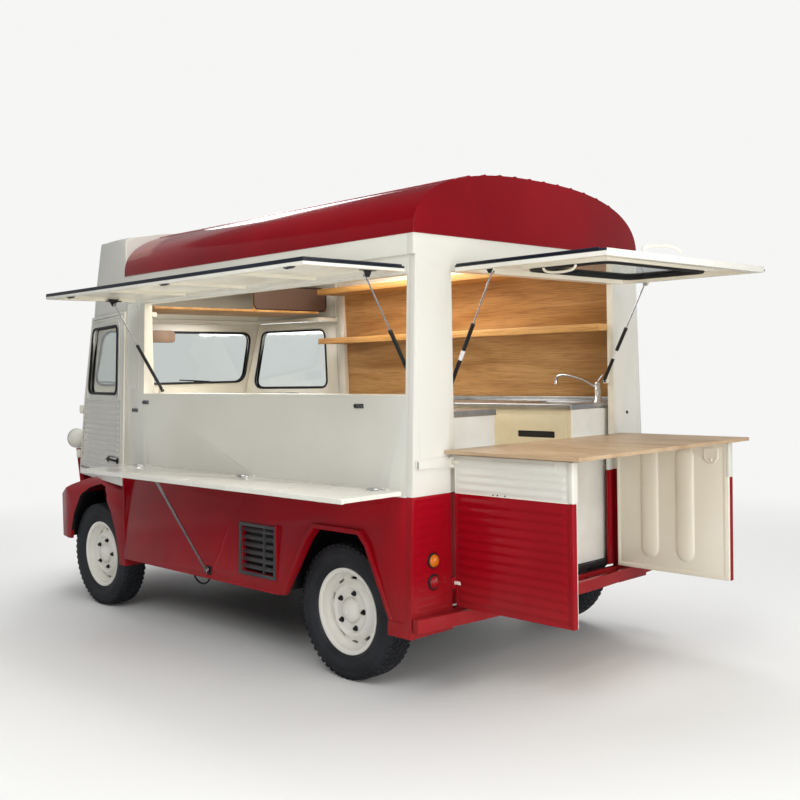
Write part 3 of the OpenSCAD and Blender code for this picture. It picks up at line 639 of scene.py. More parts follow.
    @staticmethod
    def copy(obj: Piece, name: str, place: Matrix) -> Piece:
        """Copies obj with its own mesh, moved by a matrix that goes into the mesh."""
        twin = bpy.data.objects.new(name, obj.data.copy())
        twin.data.name = name
        twin.data.transform(place)
        if place.determinant() < 0:
            twin.data.flip_normals()
        bpy.context.scene.collection.objects.link(twin)
        return twin

    @staticmethod
    def mirrored(obj: Piece, name: str) -> Piece:
        """Copies obj to the vehicle's other side."""
        shift = Matrix.Translation((0, DATUM.middle_y, 0))
        flip = Matrix.Diagonal((1, -1, 1, 1))
        return Bench.copy(obj, name, shift @ flip @ shift.inverted())

    @staticmethod
    def moved(obj: Piece, name: str, x: float = 0, y: float = 0, z: float = 0) -> Piece:
        """Copies obj, shifted by millimetres."""
        return Bench.copy(obj, name, Matrix.Translation((x * MM, y * MM, z * MM)))

    @staticmethod
    def finish(obj: Piece, body: str, finish: Finish, smooth: float = 38,
            replaces: Sequence[str] = ()) -> Piece:
        """Shades, paints and hangs a piece on its body.

        Args:
            obj: The piece, modelled in place.
            body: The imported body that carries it.
            finish: Its finish.
            smooth: Largest angle, in degrees, that is shaded smooth.
            replaces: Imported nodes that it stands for.

        Returns:
            The piece.
        """
        Bench.pick(obj)
        bpy.ops.object.shade_smooth_by_angle(angle=math.radians(smooth))
        obj.data.materials.clear()
        obj.data.materials.append(finish.material)
        if replaces:
            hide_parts(*replaces)
        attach(obj, body)
        LOG.info("%s on %s: %d faces", obj.name, body, len(obj.data.polygons))
        return obj

    @staticmethod
    def pair(left: Piece, body: str, finish: Finish, smooth: float = 38,
            replaces: Sequence[str] = ()) -> None:
        """Finishes a piece of the left side and its mirror image on the right.

        Args:
            left: The left piece, with "left" in its name.
            body: The left piece's body, or one that carries both.
            finish: Their finish.
            smooth: Largest angle, in degrees, that is shaded smooth.
            replaces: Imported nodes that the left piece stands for; the right one stands for their right twins.
        """
        right = Bench.mirrored(left, left.name.replace("left", "right"))
        Bench.finish(left, body, finish, smooth, replaces)
        twins = [node.replace("left", "right") for node in replaces if "left" in node]
        Bench.finish(right, body.replace("left", "right"), finish, smooth, twins)

    @staticmethod
    def paint(obj: Piece, finish: Finish, where: Callable[[Vector, Vector], bool]) -> Piece:
        """Gives a second finish to the faces that pass a test.

        Args:
            obj: A finished piece.
            finish: The second finish.
            where: Takes a face's middle in vehicle millimetres and its normal.

        Returns:
            The piece.
        """
        obj.data.materials.append(finish.material)
        last = len(obj.data.materials) - 1
        zero = DATUM.at(0, 0, 0)
        for face in obj.data.polygons:
            if where((face.center - zero) / MM, face.normal):
                face.material_index = last
        return obj

    @staticmethod
    def divide(obj: Piece, place: Vector, normal: Vector) -> None:
        """Adds an edge line to obj where a plane passes through it."""
        Bench.pick(obj)
        bpy.ops.object.mode_set(mode="EDIT")
        bpy.ops.mesh.select_all(action="SELECT")
        bpy.ops.mesh.bisect(plane_co=place, plane_no=normal)
        bpy.ops.object.mode_set(mode="OBJECT")

    @staticmethod
    def soften(node: str, body: str, finish: Finish, bevel: float = 3.0, segments: int = 2,
            smooth: float = 40) -> Piece:
        """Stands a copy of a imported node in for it, with merged faces and rounded edges.

        Args:
            node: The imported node.
            body: Its body.
            finish: Its finish.
            bevel: Edge rounding in millimetres, or 0 for none.
            segments: Pieces in the rounding.
            smooth: Largest angle that is shaded smooth.

        Returns:
            The rounded copy.
        """
        obj = Bench.copy(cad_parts[node], f"{node}_shaped", Matrix.Identity(4))
        Bench.merge(obj, outward=False, distance=1e-5)
        bpy.ops.object.mode_set(mode="EDIT")
        bpy.ops.mesh.select_all(action="SELECT")
        bpy.ops.mesh.dissolve_limited(angle_limit=math.radians(0.6))
        bpy.ops.object.mode_set(mode="OBJECT")
        if bevel:
            Bench.bevel(obj, bevel, segments, 34)
        return Bench.finish(obj, body, finish, smooth, [node])


def dress(node: str, finish: Finish) -> None:
    """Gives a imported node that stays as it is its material."""
    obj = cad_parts[node]
    obj.data.materials.clear()
    obj.data.materials.append(finish.material)


def ribs(pitch: float, depth: float, span: float, margin: float, ends: float,
        length: float) -> Callable[[float, float], float]:
    """Makes the height of pressed ribs that run along a sheet and fade at its ends.

    Args:
        pitch: Distance between ribs in millimetres.
        depth: Height of a rib in millimetres.
        span: Sheet size across the ribs in millimetres.
        margin: Flat border across the ribs in millimetres.
        ends: Flat border at the ribs' ends in millimetres.
        length: Sheet size along the ribs in millimetres.

    Returns:
        A height function of the fractions along and across.
    """
    count = max(int((span - 2 * margin) // pitch), 1)
    start = (span - count * pitch) / 2

    def height(u: float, v: float) -> float:
        """Height in millimetres at fractions u along and v across."""
        across = v * span - start
        if across < 0 or across > count * pitch:
            return 0.0
        edge = min(u, 1 - u) * length - ends
        fade = min(max(edge / 14, 0.0), 1.0)
        wave = 0.5 - 0.5 * math.cos(math.tau * (across / pitch))
        return depth * wave ** 0.8 * fade * fade * (3 - 2 * fade)

    return height


# ---------------------------------------------------------------- load body


@dataclass
class LoadBody:
    """Roof, sides, rear frame and their trims, in vehicle millimetres."""

    rear_x: float = -560
    front_x: float = 2060
    eave_z: float = 2190
    roof_rise: float = 335
    roof_half: float = 919.6
    roof_power: float = 2.45
    roof_sheet: float = 25
    rib_pitch: float = 118
    rib_half: float = 13
    rib_rise: float = 5
    lip_y: float = 983.5

    def arch(self, inset: float, ribbed: bool) -> list[Point2]:
        """The roof's cross-section from the left eave over the top to the right eave."""
        half, rise = self.roof_half - inset, self.roof_rise - inset
        points: list[Point2] = []
        steps = 44
        edge = 660.0
        for i in range(steps + 1):
            turn = math.pi / 2 * i / steps
            y = half * math.cos(turn) ** (2 / self.roof_power)
            z = rise * math.sin(turn) ** (2 / self.roof_power)
            if y > edge:
                points.append((y, self.eave_z + z))
        y = edge
        while y > 0:
            z = rise * (1 - (y / half) ** self.roof_power) ** (1 / self.roof_power)
            offset = abs((y - self.rib_pitch / 2) % self.rib_pitch)
            offset = min(offset, self.rib_pitch - offset)
            if ribbed and offset < self.rib_half:
                z += self.rib_rise * math.cos(offset / self.rib_half * math.pi / 2)
            points.append((y, self.eave_z + z))
            y -= 4.4
        return points + [(-a, b) for a, b in reversed(points)]

    def roof(self) -> None:
        """Builds the arched roof: one pressed skin with ribs along its top."""
        outer = Bench.slab("roof_skin", self.arch(0, True), Plane.YZ, self.rear_x, self.front_x - 2)
        Bench.bevel(outer, 9, 3, 60)
        inner = Bench.slab("roof_hollow", self.arch(self.roof_sheet, False), Plane.YZ,
            self.rear_x + self.roof_sheet, self.front_x + 20)
        lower = Bench.box("roof_under", (self.rear_x + self.roof_sheet, self.front_x + 20),
            (-self.roof_half + self.roof_sheet, self.roof_half - self.roof_sheet),
            (self.eave_z - 20, self.eave_z + 0.5), 0)
        Bench.cut(outer, inner, lower)
        skin = Bench.finish(outer, "vehicle", Finish.ROOF_RED, 30, ["roof"])
        # The roof's inside faces take the inner cream, lightened as painted light for their shade.
        Bench.paint(skin, Finish.INNER_CREAM_PAINTED_LIGHT,
            lambda p, n: p.x > self.rear_x + 20 and p.z < self.ceiling(p.y) and p.x < 2050)
        gutters = [Bench.box("roof_gutter", (self.rear_x - 3, self.front_x - 6), (912, 923),
            (self.eave_z - 3, self.eave_z + 7), 2.5)]
        gutters.append(Bench.mirrored(gutters[0], "roof_gutter_right"))
        gutters.append(Bench.box("roof_gutter_rear", (self.rear_x - 4, self.rear_x + 8), (-921, 921),
            (self.eave_z - 3, self.eave_z + 7), 2.5))
        Bench.finish(Bench.join("roof_gutters", gutters), "vehicle", Finish.ROOF_RED)

    def ceiling(self, y: float) -> float:
        """Height between the roof's outer and inner faces at y."""
        half = self.roof_half - self.roof_sheet / 2
        share = min(abs(y) / half, 1.0)
        rise = self.roof_rise - self.roof_sheet / 2
        return self.eave_z + rise * (1 - share ** self.roof_power) ** (1 / self.roof_power)

    def sides(self) -> None:
        """Rounds and paints the sides, with a warm cream inside the openings that is lightened as painted
        light.
        """
        for side in ("left", "right"):
            upper = Bench.soften(f"{side}_upper_side", "vehicle", Finish.CREAM, 3.0)
            # Faces inside the openings take the inner cream, lightened as painted light for their shade.
            Bench.paint(upper, Finish.INNER_CREAM_PAINTED_LIGHT,
                        lambda p, n: abs(p.y) < side_y(p.z) - 30 or (1441 < p.z < 2010 and abs(n.y) < 0.5
                                                                   and -500 < p.x < 1840))
            Bench.soften(f"{side}_lower_side", "vehicle", Finish.RED, 4.0)
        rear = Bench.soften("rear_upper_frame", "vehicle", Finish.CREAM, 4.0, 3)
        # The rear frame's inner faces take the inner cream, lightened as painted light for their shade.
        Bench.paint(rear, Finish.INNER_CREAM_PAINTED_LIGHT,
            lambda p, n: p.x > self.rear_x + 8 and n.x > -0.5 and abs(p.y) < side_y(p.z) - 12)
        Bench.soften("rear_lower_corners", "vehicle", Finish.RED, 4.0, 3)

    def post_pressing(self) -> None:
        """The tall pressed panel on the post between hatch and cab, on each side."""
        low, high = (1884, 1470), (2034, 2010)
        corners = [DATUM.at(high[0], side_y(low[1]), low[1]), DATUM.at(low[0], side_y(low[1]), low[1]),
            DATUM.at(low[0], side_y(high[1]), high[1]), DATUM.at(high[0], side_y(high[1]), high[1])]

        def rise(u: float, v: float) -> float:
            """A raised rim round a sunken tall field."""
            x, z = (u - 0.5) * 150, (v - 0.5) * 540
            gap = math.hypot(max(abs(x) - 28, 0), max(abs(z) - 223, 0))
            edge = min(max((gap - 30) / 14, 0.0), 1.0)
            away = min(max((75 - abs(x)) / 10, 0.0), 1.0) * min(max((270 - abs(z)) / 10, 0.0), 1.0)
            return 0.3 + 5.0 * edge * away

        left = Bench.sheet("left_post_pressing", corners, (36, 90), rise, 1.2)
        Bench.pair(left, "vehicle", Finish.CREAM, 60)

    def arch_lips(self) -> None:
        """Folded lips round the rear wheel arches, upright while the sides lean."""
        opening = [(-410, 387), (-250, 715), (-200, 765), (125, 765), (190, 700), (392, 387)]
        outside = [(-436, 387), (-271, 727), (-212, 789), (136, 789), (212, 709), (420, 387)]
        ring = opening + outside[::-1]
        left = Bench.slab("left_arch_lip", ring, Plane.XZ, 958, self.lip_y, 3.5, 3)
        Bench.pair(left, "vehicle", Finish.RED)

    def sill_fold(self) -> None:
        """The folded lower edge of the sides and the fold at the front post."""
        fold = Bench.box("left_sill_fold", (424, 2046), (948, 982.5), (381, 396), 3.5, 3)
        post = Bench.box("left_post_fold", (2036, 2050), (950, 979), (396, 964), 4, 3)
        Bench.pair(Bench.join("left_sill_folds", [fold, post]), "vehicle", Finish.RED)

    def rear_corner_ribs(self) -> None:
        """Shallow pressed ribs on the red corner panels beside the rear opening."""
        z0, z1 = 428, 958
        corners = [DATUM.at(self.rear_x - 0.4, 960, z0), DATUM.at(self.rear_x - 0.4, 724, z0),
            DATUM.at(self.rear_x - 0.4, 724, z1), DATUM.at(self.rear_x - 0.4, 942, z1)]
        left = Bench.sheet("left_corner_ribs", corners, (24, 156), ribs(42, 2.6, 530, 12, 16, 236), 1.2)
        Bench.pair(left, "vehicle", Finish.RED, 60)

    def belt_and_corner_beads(self) -> None:
        """Thin folded beads along the belt and down the rear corners."""
        beads = [Bench.box("belt_bead", (-519, 2055), (side_y(970) - 3, side_y(970) + 2.5), (966, 973), 2)]
        beads.append(Bench.box("corner_bead", (self.rear_x - 2, self.rear_x + 4),
            (side_y(1500) - 30, side_y(1500) - 26), (1150, 2080), 1.5))
        Bench.pair(Bench.join("left_body_beads", beads), "vehicle", Finish.CREAM)

    def latch(self, name: str, x: float, y: float, z: float, reach: float = 26,
            body: str = "vehicle") -> Piece:
        """A small toggle latch: a plate, a lever and a hooked loop."""
        plate = Bench.box(f"{name}_plate", (x - 34, x + 34), (y, y + 3), (z - 11, z + 11), 1.2)
        lever = Bench.box(f"{name}_lever", (x - 28, x + 8), (y + 3, y + 9), (z - 7, z + 7), 2.5)
        loop = Bench.tube(f"{name}_loop", [DATUM.at(x + a, y + 7, z + b) for a, b in ((4, -8), (reach, -8),
            (reach + 5, 0), (reach, 8), (4, 8))], 1.8, True)
        screws = [Bench.turned(f"{name}_screw", [(0, 5), (3, 4.4), (4, 3), (4, 2)], DATUM.at(x + s, y, z),
            LEFT, 12) for s in (-31, 31)]
        piece = Bench.join(name, [plate, lever, loop, *screws])
        return Bench.finish(piece, body, Finish.CATCH)

    def vent(self) -> None:
        """Dresses the side vent: a frame, tilted slats, a middle bar and a black back plate of painted shade
        behind the slats.
        """
        Bench.soften("side_vent", "vehicle", Finish.VENT, 1.5)
        # A black plate behind the slats: painted shade for the vent's inside.
        back = Bench.box("vent_shade_back", (474, 761), (938, 944), (477, 716), 1)
        Bench.finish(back, "vehicle", Finish.BLACK)
        rim = Bench.slab("vent_red_rim", [(440, 446), (452, 446), (452, 748), (440, 748)],
            Plane.XZ, 960, 982, 2)
        Bench.finish(rim, "vehicle", Finish.RED)

    def small_parts(self) -> None:
        """Latches at the hatch's sill, the shelf catch and the dot on the right post."""
        for index, x in enumerate((-186, 1800)):
            self.latch(f"hatch_latch_{index + 1}", x, side_y(1386), 1386)
        self.latch("front_catch", 1930, side_y(1335), 1335, 20)
        dot = Bench.turned("post_rubber_stop", [(0, 7), (6, 6), (9, 3), (9, 0)], DATUM.at(self.rear_x, -800,
            1290), -FORWARD, 20)
        Bench.finish(dot, "vehicle", Finish.BLACK)

    def lamps(self) -> None:
        """Rear lamps: an amber over a red round lens, each in a dark rubber base."""
        lenses = {563: ("red", Finish.RED_LENS), 663: ("amber", Finish.AMBER)}
        for z, (colour, finish) in lenses.items():
            for side, y in (("left", 832), ("right", -832)):
                base = Bench.turned(f"{side}_{colour}_lamp_base", [(0, 1), (37, 1), (37, 8), (34, 11),
                    (0, 11)], DATUM.at(self.rear_x, y, z), -FORWARD, 40)
                Bench.finish(base, "vehicle", Finish.BLACK)
                lens = Bench.turned(f"{side}_{colour}_lamp_lens", [(0, 26), (8, 25.6), (17, 23.4), (24, 19.4),
                    (29, 13), (30, 11), (30, 6), (0, 6)], DATUM.at(self.rear_x, y, z), -FORWARD, 40)
                Bench.finish(lens, "vehicle", finish)
        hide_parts("rear_lamps")

    def build(self) -> None:
        """Builds the load body."""
        self.roof()
        self.sides()
        self.post_pressing()
        self.arch_lips()
        self.sill_fold()
        self.rear_corner_ribs()
        self.belt_and_corner_beads()
        self.vent()
        self.small_parts()
        self.lamps()


# ---------------------------------------------------------------- cab


@dataclass
class Cab:
    """Cab shell, doors, nose, wings, fairing and what the driver uses, in vehicle millimetres."""

    corner: Point3 = (2100, 916, 1950)
    lean_angle: float = 2.4050
    taper_angle: float = 13.4957
    door_slope: float = 0.2144
    lamp: Point3 = (3222, 682, 1098)
    lamp_scale: float = 0.82
    screen_foot: Point2 = (3046, 1390)
    screen_rake: float = 0.335
    wing_floor: float = 842

    def on_door(self, u: float, v: float, w: float) -> Vector:
        """A place in the left door's own plane: u forward, v outward, w up."""
        turn = (Matrix.Rotation(math.radians(-self.taper_angle), 3,
            "Z") @ Matrix.Rotation(math.radians(self.lean_angle), 3, "X"))
        return DATUM.at(*(Vector(self.corner) + turn @ Vector((u, v, w))))

    def on_screen(self, y: float, z: float, out: float = 0.0) -> Vector:
        """A place on the raked windscreen, out millimetres ahead of it."""
        return DATUM.at(self.screen_foot[0] - (z - self.screen_foot[1]) * self.screen_rake + out, y, z)

    def door_edge(self, w: float) -> float:
        """The door's front edge at height w in its own plane."""
        return 946 + (-560 - w) * self.door_slope if w < -560 else 946 + (w + 560) * -0.3315

    def shell(self) -> None:
        """Rounds the cab's own panels."""
        cab = Bench.soften("cab_frame", "vehicle", Finish.CREAM, 5.0, 3)
        # Inward and rear-facing faces take the inner cream, lightened as painted light for their shade.
        Bench.paint(cab, Finish.INNER_CREAM_PAINTED_LIGHT,
            lambda p, n: n.y * (1 if p.y > 0 else -1) < -0.4 or (n.x < -0.6 and p.x < 3000))
        fairing = Bench.soften("cab_fairing", "vehicle", Finish.CREAM, 16.0, 4, 50)
        # The fairing's underside and rear faces take the inner cream, lightened as painted light for their
        # shade.
        Bench.paint(fairing, Finish.INNER_CREAM_PAINTED_LIGHT, lambda p, n: n.z < -0.5 or (n.x < -0.3 and p.x > 2070))
        Bench.soften("bumpers", "vehicle", Finish.RED, 7.0, 3)
        wings = Bench.soften("front_wings", "vehicle", Finish.RED, 10.0, 4, 50)
        Bench.paint(wings, Finish.UNDERBODY, lambda p, n: n.z < -0.3 and 2120 < p.x < 2880)
        dress("windscreen", Finish.GLASS)
        dress("engine_block", Finish.UNDERBODY)

    def nose(self) -> None:
        """Grille panel with bright bars over a black plate of painted shade, the ribbed bonnet and its pull."""
        Bench.soften("nose_panel", "vehicle", Finish.CREAM, 3.0)
        bonnet = Bench.soften("bonnet", "bonnet", Finish.CREAM, 14.0, 4, 55)
        # The bonnet's underside takes the inner cream, lightened as painted light for its shade.
        Bench.paint(bonnet, Finish.INNER_CREAM_PAINTED_LIGHT, lambda p, n: n.z < -0.4)
        bars = [Bench.box("grille_bar", (3502, 3509), (-352, 352), (z, z + 9),
            3) for z in range(590, 951, 60)]
        Bench.finish(Bench.join("grille_bars", bars), "vehicle", Finish.CHROME)
        # A black plate behind the bars: painted shade for the opening behind the grille.
        dark = Bench.box("grille_shade_back", (3460, 3476), (-362, 362), (540, 962), 2)
        Bench.finish(dark, "vehicle", Finish.BLACK)
        pull = Bench.turned("bonnet_pull", [(0, 10), (16, 8), (22, 2), (22, -4)], DATUM.at(3500, 0, 1030),
            Vector((1, 0, 0.1)), 32)
        Bench.finish(pull, "bonnet", Finish.CHROME)
        strips = []
        for y in (-250, -150, -50, 50, 150, 250):
            line = [DATUM.at(x, y * k, z) for x, z, k in ((3110, 1368, 1.3), (3196, 1343, 1.24),
                (3326, 1284, 1.12), (3424, 1210, 1.04), (3480, 1122, 1.0))]
            strips.append(Bench.tube("bonnet_rib", line, 6, smooth=True))
        Bench.finish(Bench.join("bonnet_ribs", strips), "bonnet", Finish.CREAM, 60)

    def headlights(self) -> None:
        """Bowl, chrome rim, glass and reflector of each headlight."""
        parts = {
            "bowl": (Finish.CREAM, False, [(0, -104), (14, -103.4), (30, -99), (46, -90), (60, -77),
                                           (72, -60),
                                           (81, -40), (86, -18), (87, 0), (87, 18), (0, 18)]),
            "rim": (Finish.CHROME, True, [(70, 20), (76, 33), (82, 36), (87.5, 32), (88, 22), (87.5, 14),
                                          (84, 14), (80, 18)]),
            "glass": (Finish.CLEAR_LENS, False, [(0, 47.5), (16, 46.4), (34, 42.6), (52, 37), (66, 31.5),
                                                 (77, 28), (77, 24), (0, 24)]),
            "reflector": (Finish.CHROME, False, [(0, 21), (14, 21), (16, 19), (74, 23), (76, 22), (76, 18.4),
                                                 (0, 18.4)])}
        for part, (finish, closed, profile) in parts.items():
            sized = [(radius * self.lamp_scale, height * self.lamp_scale) for radius, height in profile]
            left = Bench.turned(f"left_headlight_{part}", sized, DATUM.at(*self.lamp), FORWARD, 52, closed)
            Bench.pair(left, "vehicle", finish, 45, ["headlights"] if part == "bowl" else [])

    def splash_plates(self) -> None:
        """Plates in front of each wheel housing, and the red panels between wing, cab and nose."""
        valance = Bench.slab("left_wing_valance", [(2900, 690), (3222, 560), (3222, self.wing_floor),
            (2900, self.wing_floor)], Plane.XZ, 640, 646, 2)
        apron = Bench.slab("left_wing_apron", [(500, 520), (644, 470), (644, self.wing_floor),
            (500, self.wing_floor)], Plane.YZ, 3217, 3222, 2)
        plate = Bench.slab("left_splash_plate", [(470, 432), (905, 432), (907, 690), (868, 728), (470, 735)],
            Plane.YZ, 2920, 2923.5, 1)
        for panel, finish in ((valance, Finish.RED), (apron, Finish.RED), (plate, Finish.UNDERBODY)):
            Bench.pair(panel, "vehicle", finish)

    def door_skin(self) -> Piece:
        """The ribbed lower skin of the left door, whose front edge slopes."""
        low, high = -1028.0, -556.0
        corners = [self.on_door(self.door_edge(low) - 14, 0.4, low), self.on_door(18, 0.4, low),
            self.on_door(18, 0.4, high), self.on_door(self.door_edge(high) - 14, 0.4, high)]
        return Bench.sheet("left_door_ribs", corners, (40, 190), ribs(36, 6.5, 472, 8, 26, 930), 1.2)

    def gasket(self, name: str, outline: Sequence[Point2], v: float, radius: float) -> Piece:
        """A rubber seal round an outline in the door's plane."""
        return Bench.tube(name, [self.on_door(u, v, w) for u, w in outline], radius, True)

    def doors(self) -> None:
        """Cab doors: rounded panel, ribbed skin, seals, handle, hinge knobs and inner trim."""
        window = round_loop([(110, -68), (728, -68), (846, -515), (110, -515)], 64, 8)
        inner = round_loop([(62, -40), (752, -40), (880, -560), (62, -560)], 50, 6)
        pieces = {
            "ribs": (self.door_skin(), Finish.DOOR_CREAM),
            "outer_seal": (self.gasket("left_door_outer_seal", window, 0.5, 9), Finish.BLACK),
            "inner_seal": (self.gasket("left_door_inner_seal", window, -30, 8), Finish.BLACK),
            "frame_bead": (self.gasket("left_door_frame_bead", inner, 1, 4.5), Finish.CREAM),
            "rear_seal": (Bench.tube("left_door_rear_seal",
                                     [self.on_door(-2, -8, -8), self.on_door(-2, -8, -1040)],
                                     5), Finish.BLACK),
            "drip_bead": (Bench.tube("left_door_drip_bead",
                                     [self.on_door(14, 3, -14), self.on_door(744, 3, -14),
                                                             self.on_door(925, 3, -556),
                                                             self.on_door(1025, 3, -1028)], 5, smooth=False),
                          Finish.CREAM),
            "handle": (self.handle(), Finish.BLACK),
            "hinge_knobs": (self.knobs(), Finish.CREAM),
        }
        for name, (piece, finish) in pieces.items():
            piece.name = piece.data.name = f"left_door_{name}"
            Bench.pair(piece, "left_cab_door", finish, 60)
        for side in ("left", "right"):
            door = Bench.soften(f"{side}_cab_door", f"{side}_cab_door", Finish.CREAM, 3.0)
            # The door's inward faces take the inner cream, lightened as painted light for their shade.
            Bench.paint(door, Finish.INNER_CREAM_PAINTED_LIGHT, lambda p, n: n.y * (1 if p.y > 0 else -1) < -0.4)
            dress(f"{side}_door_glass", Finish.GLASS)

    def handle(self) -> Piece:
        """A black pull on two roses, low on the door's rear half."""
        grip = Bench.tube("left_door_grip", [self.on_door(u, v, w) for u, v,
            w in ((62, 4, -952), (78, 24, -948), (190, 26, -944), (262, 24, -948), (280, 4, -952))],
            7.5, smooth=True)
        roses = [Bench.turned("left_door_rose", [(0, 11), (13, 10), (18, 7), (19, 1)],
            self.on_door(u, 0, -952), self.on_door(u, 1, -952) - self.on_door(u, 0, -952),
            24) for u in (62, 280)]
        return Bench.join("left_door_handle", [grip, *roses])

    def knobs(self) -> Piece:
        """The big turned covers over the hinge pins at the door's front edge."""
        parts = []
        for w in (-634, -960):
            u = self.door_edge(w) + 8
            parts.append(Bench.turned("hinge_knob", [(0, 30), (10, 29), (16, 25), (18, 17), (17, 6), (18, -6),
                (18, -18), (15, -27), (8, -31), (0, -31)], self.on_door(u, 14, w),
                self.on_door(u, 14, w + 1) - self.on_door(u, 14, w), 28))
        return Bench.join("left_door_knobs", parts)

    def screen_trim(self) -> None:
        """Rubber seals round the windscreen, inside and out, and the parked wipers."""
        flat = round_loop([(-640, 1875), (640, 1875), (655, 1488), (-655, 1488)], 84, 8)
        for name, back in (("outer", 0.0), ("inner", 30.0)):
            seal = Bench.tube(f"windscreen_{name}_seal", [self.on_screen(y, z, -back) for y,
                z in flat], 9, True)
            Bench.finish(seal, "vehicle", Finish.BLACK, 60)
        wipers = []
        for y in (-420, 240):
            arm = [self.on_screen(y + s, z, out) for s, z, out in ((0, 1452, 10), (60, 1474, 22),
                (210, 1500, 20))]
            blade = [self.on_screen(y + s, z, 12) for s, z in ((70, 1496), (350, 1512))]
            wipers += [Bench.tube("wiper_arm", arm, 4), Bench.tube("wiper_blade", blade, 5)]
        Bench.finish(Bench.join("wipers", wipers), "vehicle", Finish.BLACK)

    def inside(self) -> None:
        """Dashboard, sun visor, grab loop and the steering wheel's rim."""
        dash = Bench.slab("dashboard", round_loop([(2830, 1300), (3000, 1300), (3024, 1400), (2850, 1400)],
            22), Plane.XZ, -640, 640, 4)
        Bench.finish(dash, "vehicle", Finish.INNER_CREAM_PAINTED_LIGHT)
        pod = Bench.slab("instrument_pod", round_loop([(290, 1400), (510, 1400), (490, 1470), (310, 1470)],
            20), Plane.YZ, 2850, 2930, 5)
        Bench.finish(pod, "vehicle", Finish.BLACK)
        visor = Bench.slab("sun_visor", round_loop([(80, 1795), (440, 1795), (440, 1885), (80, 1885)], 34),
            Plane.YZ, 2818, 2832, 5, 3)
        Bench.finish(visor, "vehicle", Finish.VISOR)
        loop = Bench.tube("grab_loop", [self.on_door(u, -52, w) for u, w in ((150, -90), (146, -150),
            (160, -190), (190, -198), (204, -170), (206, -110))], 6, smooth=True)
        Bench.finish(loop, "left_cab_door", Finish.CREAM)
        Bench.soften("steering_wheel", "steering_wheel", Finish.BLACK, 1.5)

    def seat(self, name: str, side: float) -> None:
        """One padded seat: a crowned cushion with sewn channels on a frame."""
        low, high = (180, 620) if side > 0 else (-620, -180)

        def pad(part: str, profile: Sequence[Point2]) -> Piece:
            """Swells a side profile into a pad with soft ends and sewn channels."""
            obj = Bench.slab(f"{name}_{part}", profile, Plane.XZ, low + 8, high - 8)
            Bench.apply(obj, "REMESH", mode="VOXEL", voxel_size=0.014)
            middle = sum(v.co.y for v in obj.data.vertices) / len(obj.data.vertices)
            Bench.apply(obj, "SMOOTH", factor=0.6, iterations=8)
            half = (high - low) / 2 * MM
            zero = DATUM.at(0, 0, 0)
            for vertex in obj.data.vertices:
                share = (vertex.co.y - middle) / half
                groove = abs((share * 2.5 + 0.5) % 1.0 - 0.5)
                if groove < 0.09:
                    depth = 1 - groove / 0.09
                    centre = Vector((zero.x + sum(p[0] for p in profile) / len(profile) * MM, vertex.co.y,
                        sum(p[1] for p in profile) / len(profile) * MM))
                    vertex.co = vertex.co.lerp(centre, 0.05 * depth)
            Bench.apply(obj, "SUBSURF", levels=1, render_levels=1)
            return obj

        cushion = pad("cushion", [(2196, 1052), (2652, 1052), (2662, 1100), (2650, 1152), (2560, 1160),
            (2310, 1160), (2200, 1150)])
        back = pad("back", [(2200, 1150), (2308, 1160), (2276, 1390), (2248, 1408), (2190, 1402),
            (2172, 1378)])
        piece = Bench.join(name, [cushion, back])
        Bench.finish(piece, "vehicle", Finish.SEAT, 70, ["cab_seats"] if side > 0 else [])
        base = Bench.box(f"{name}_box", (2200, 2620), (low + 10, high - 10), (871, 1052), 6, 3)
        Bench.finish(base, "vehicle", Finish.INNER_CREAM_PAINTED_LIGHT)

    def build(self) -> None:
        """Builds the cab."""
        self.shell()
        self.nose()
        self.headlights()
        self.splash_plates()
        self.doors()
        self.screen_trim()
        self.inside()
        self.seat("driver_seat", 1)
        self.seat("passenger_seat", -1)


# ---------------------------------------------------------------- awning, shelf and struts


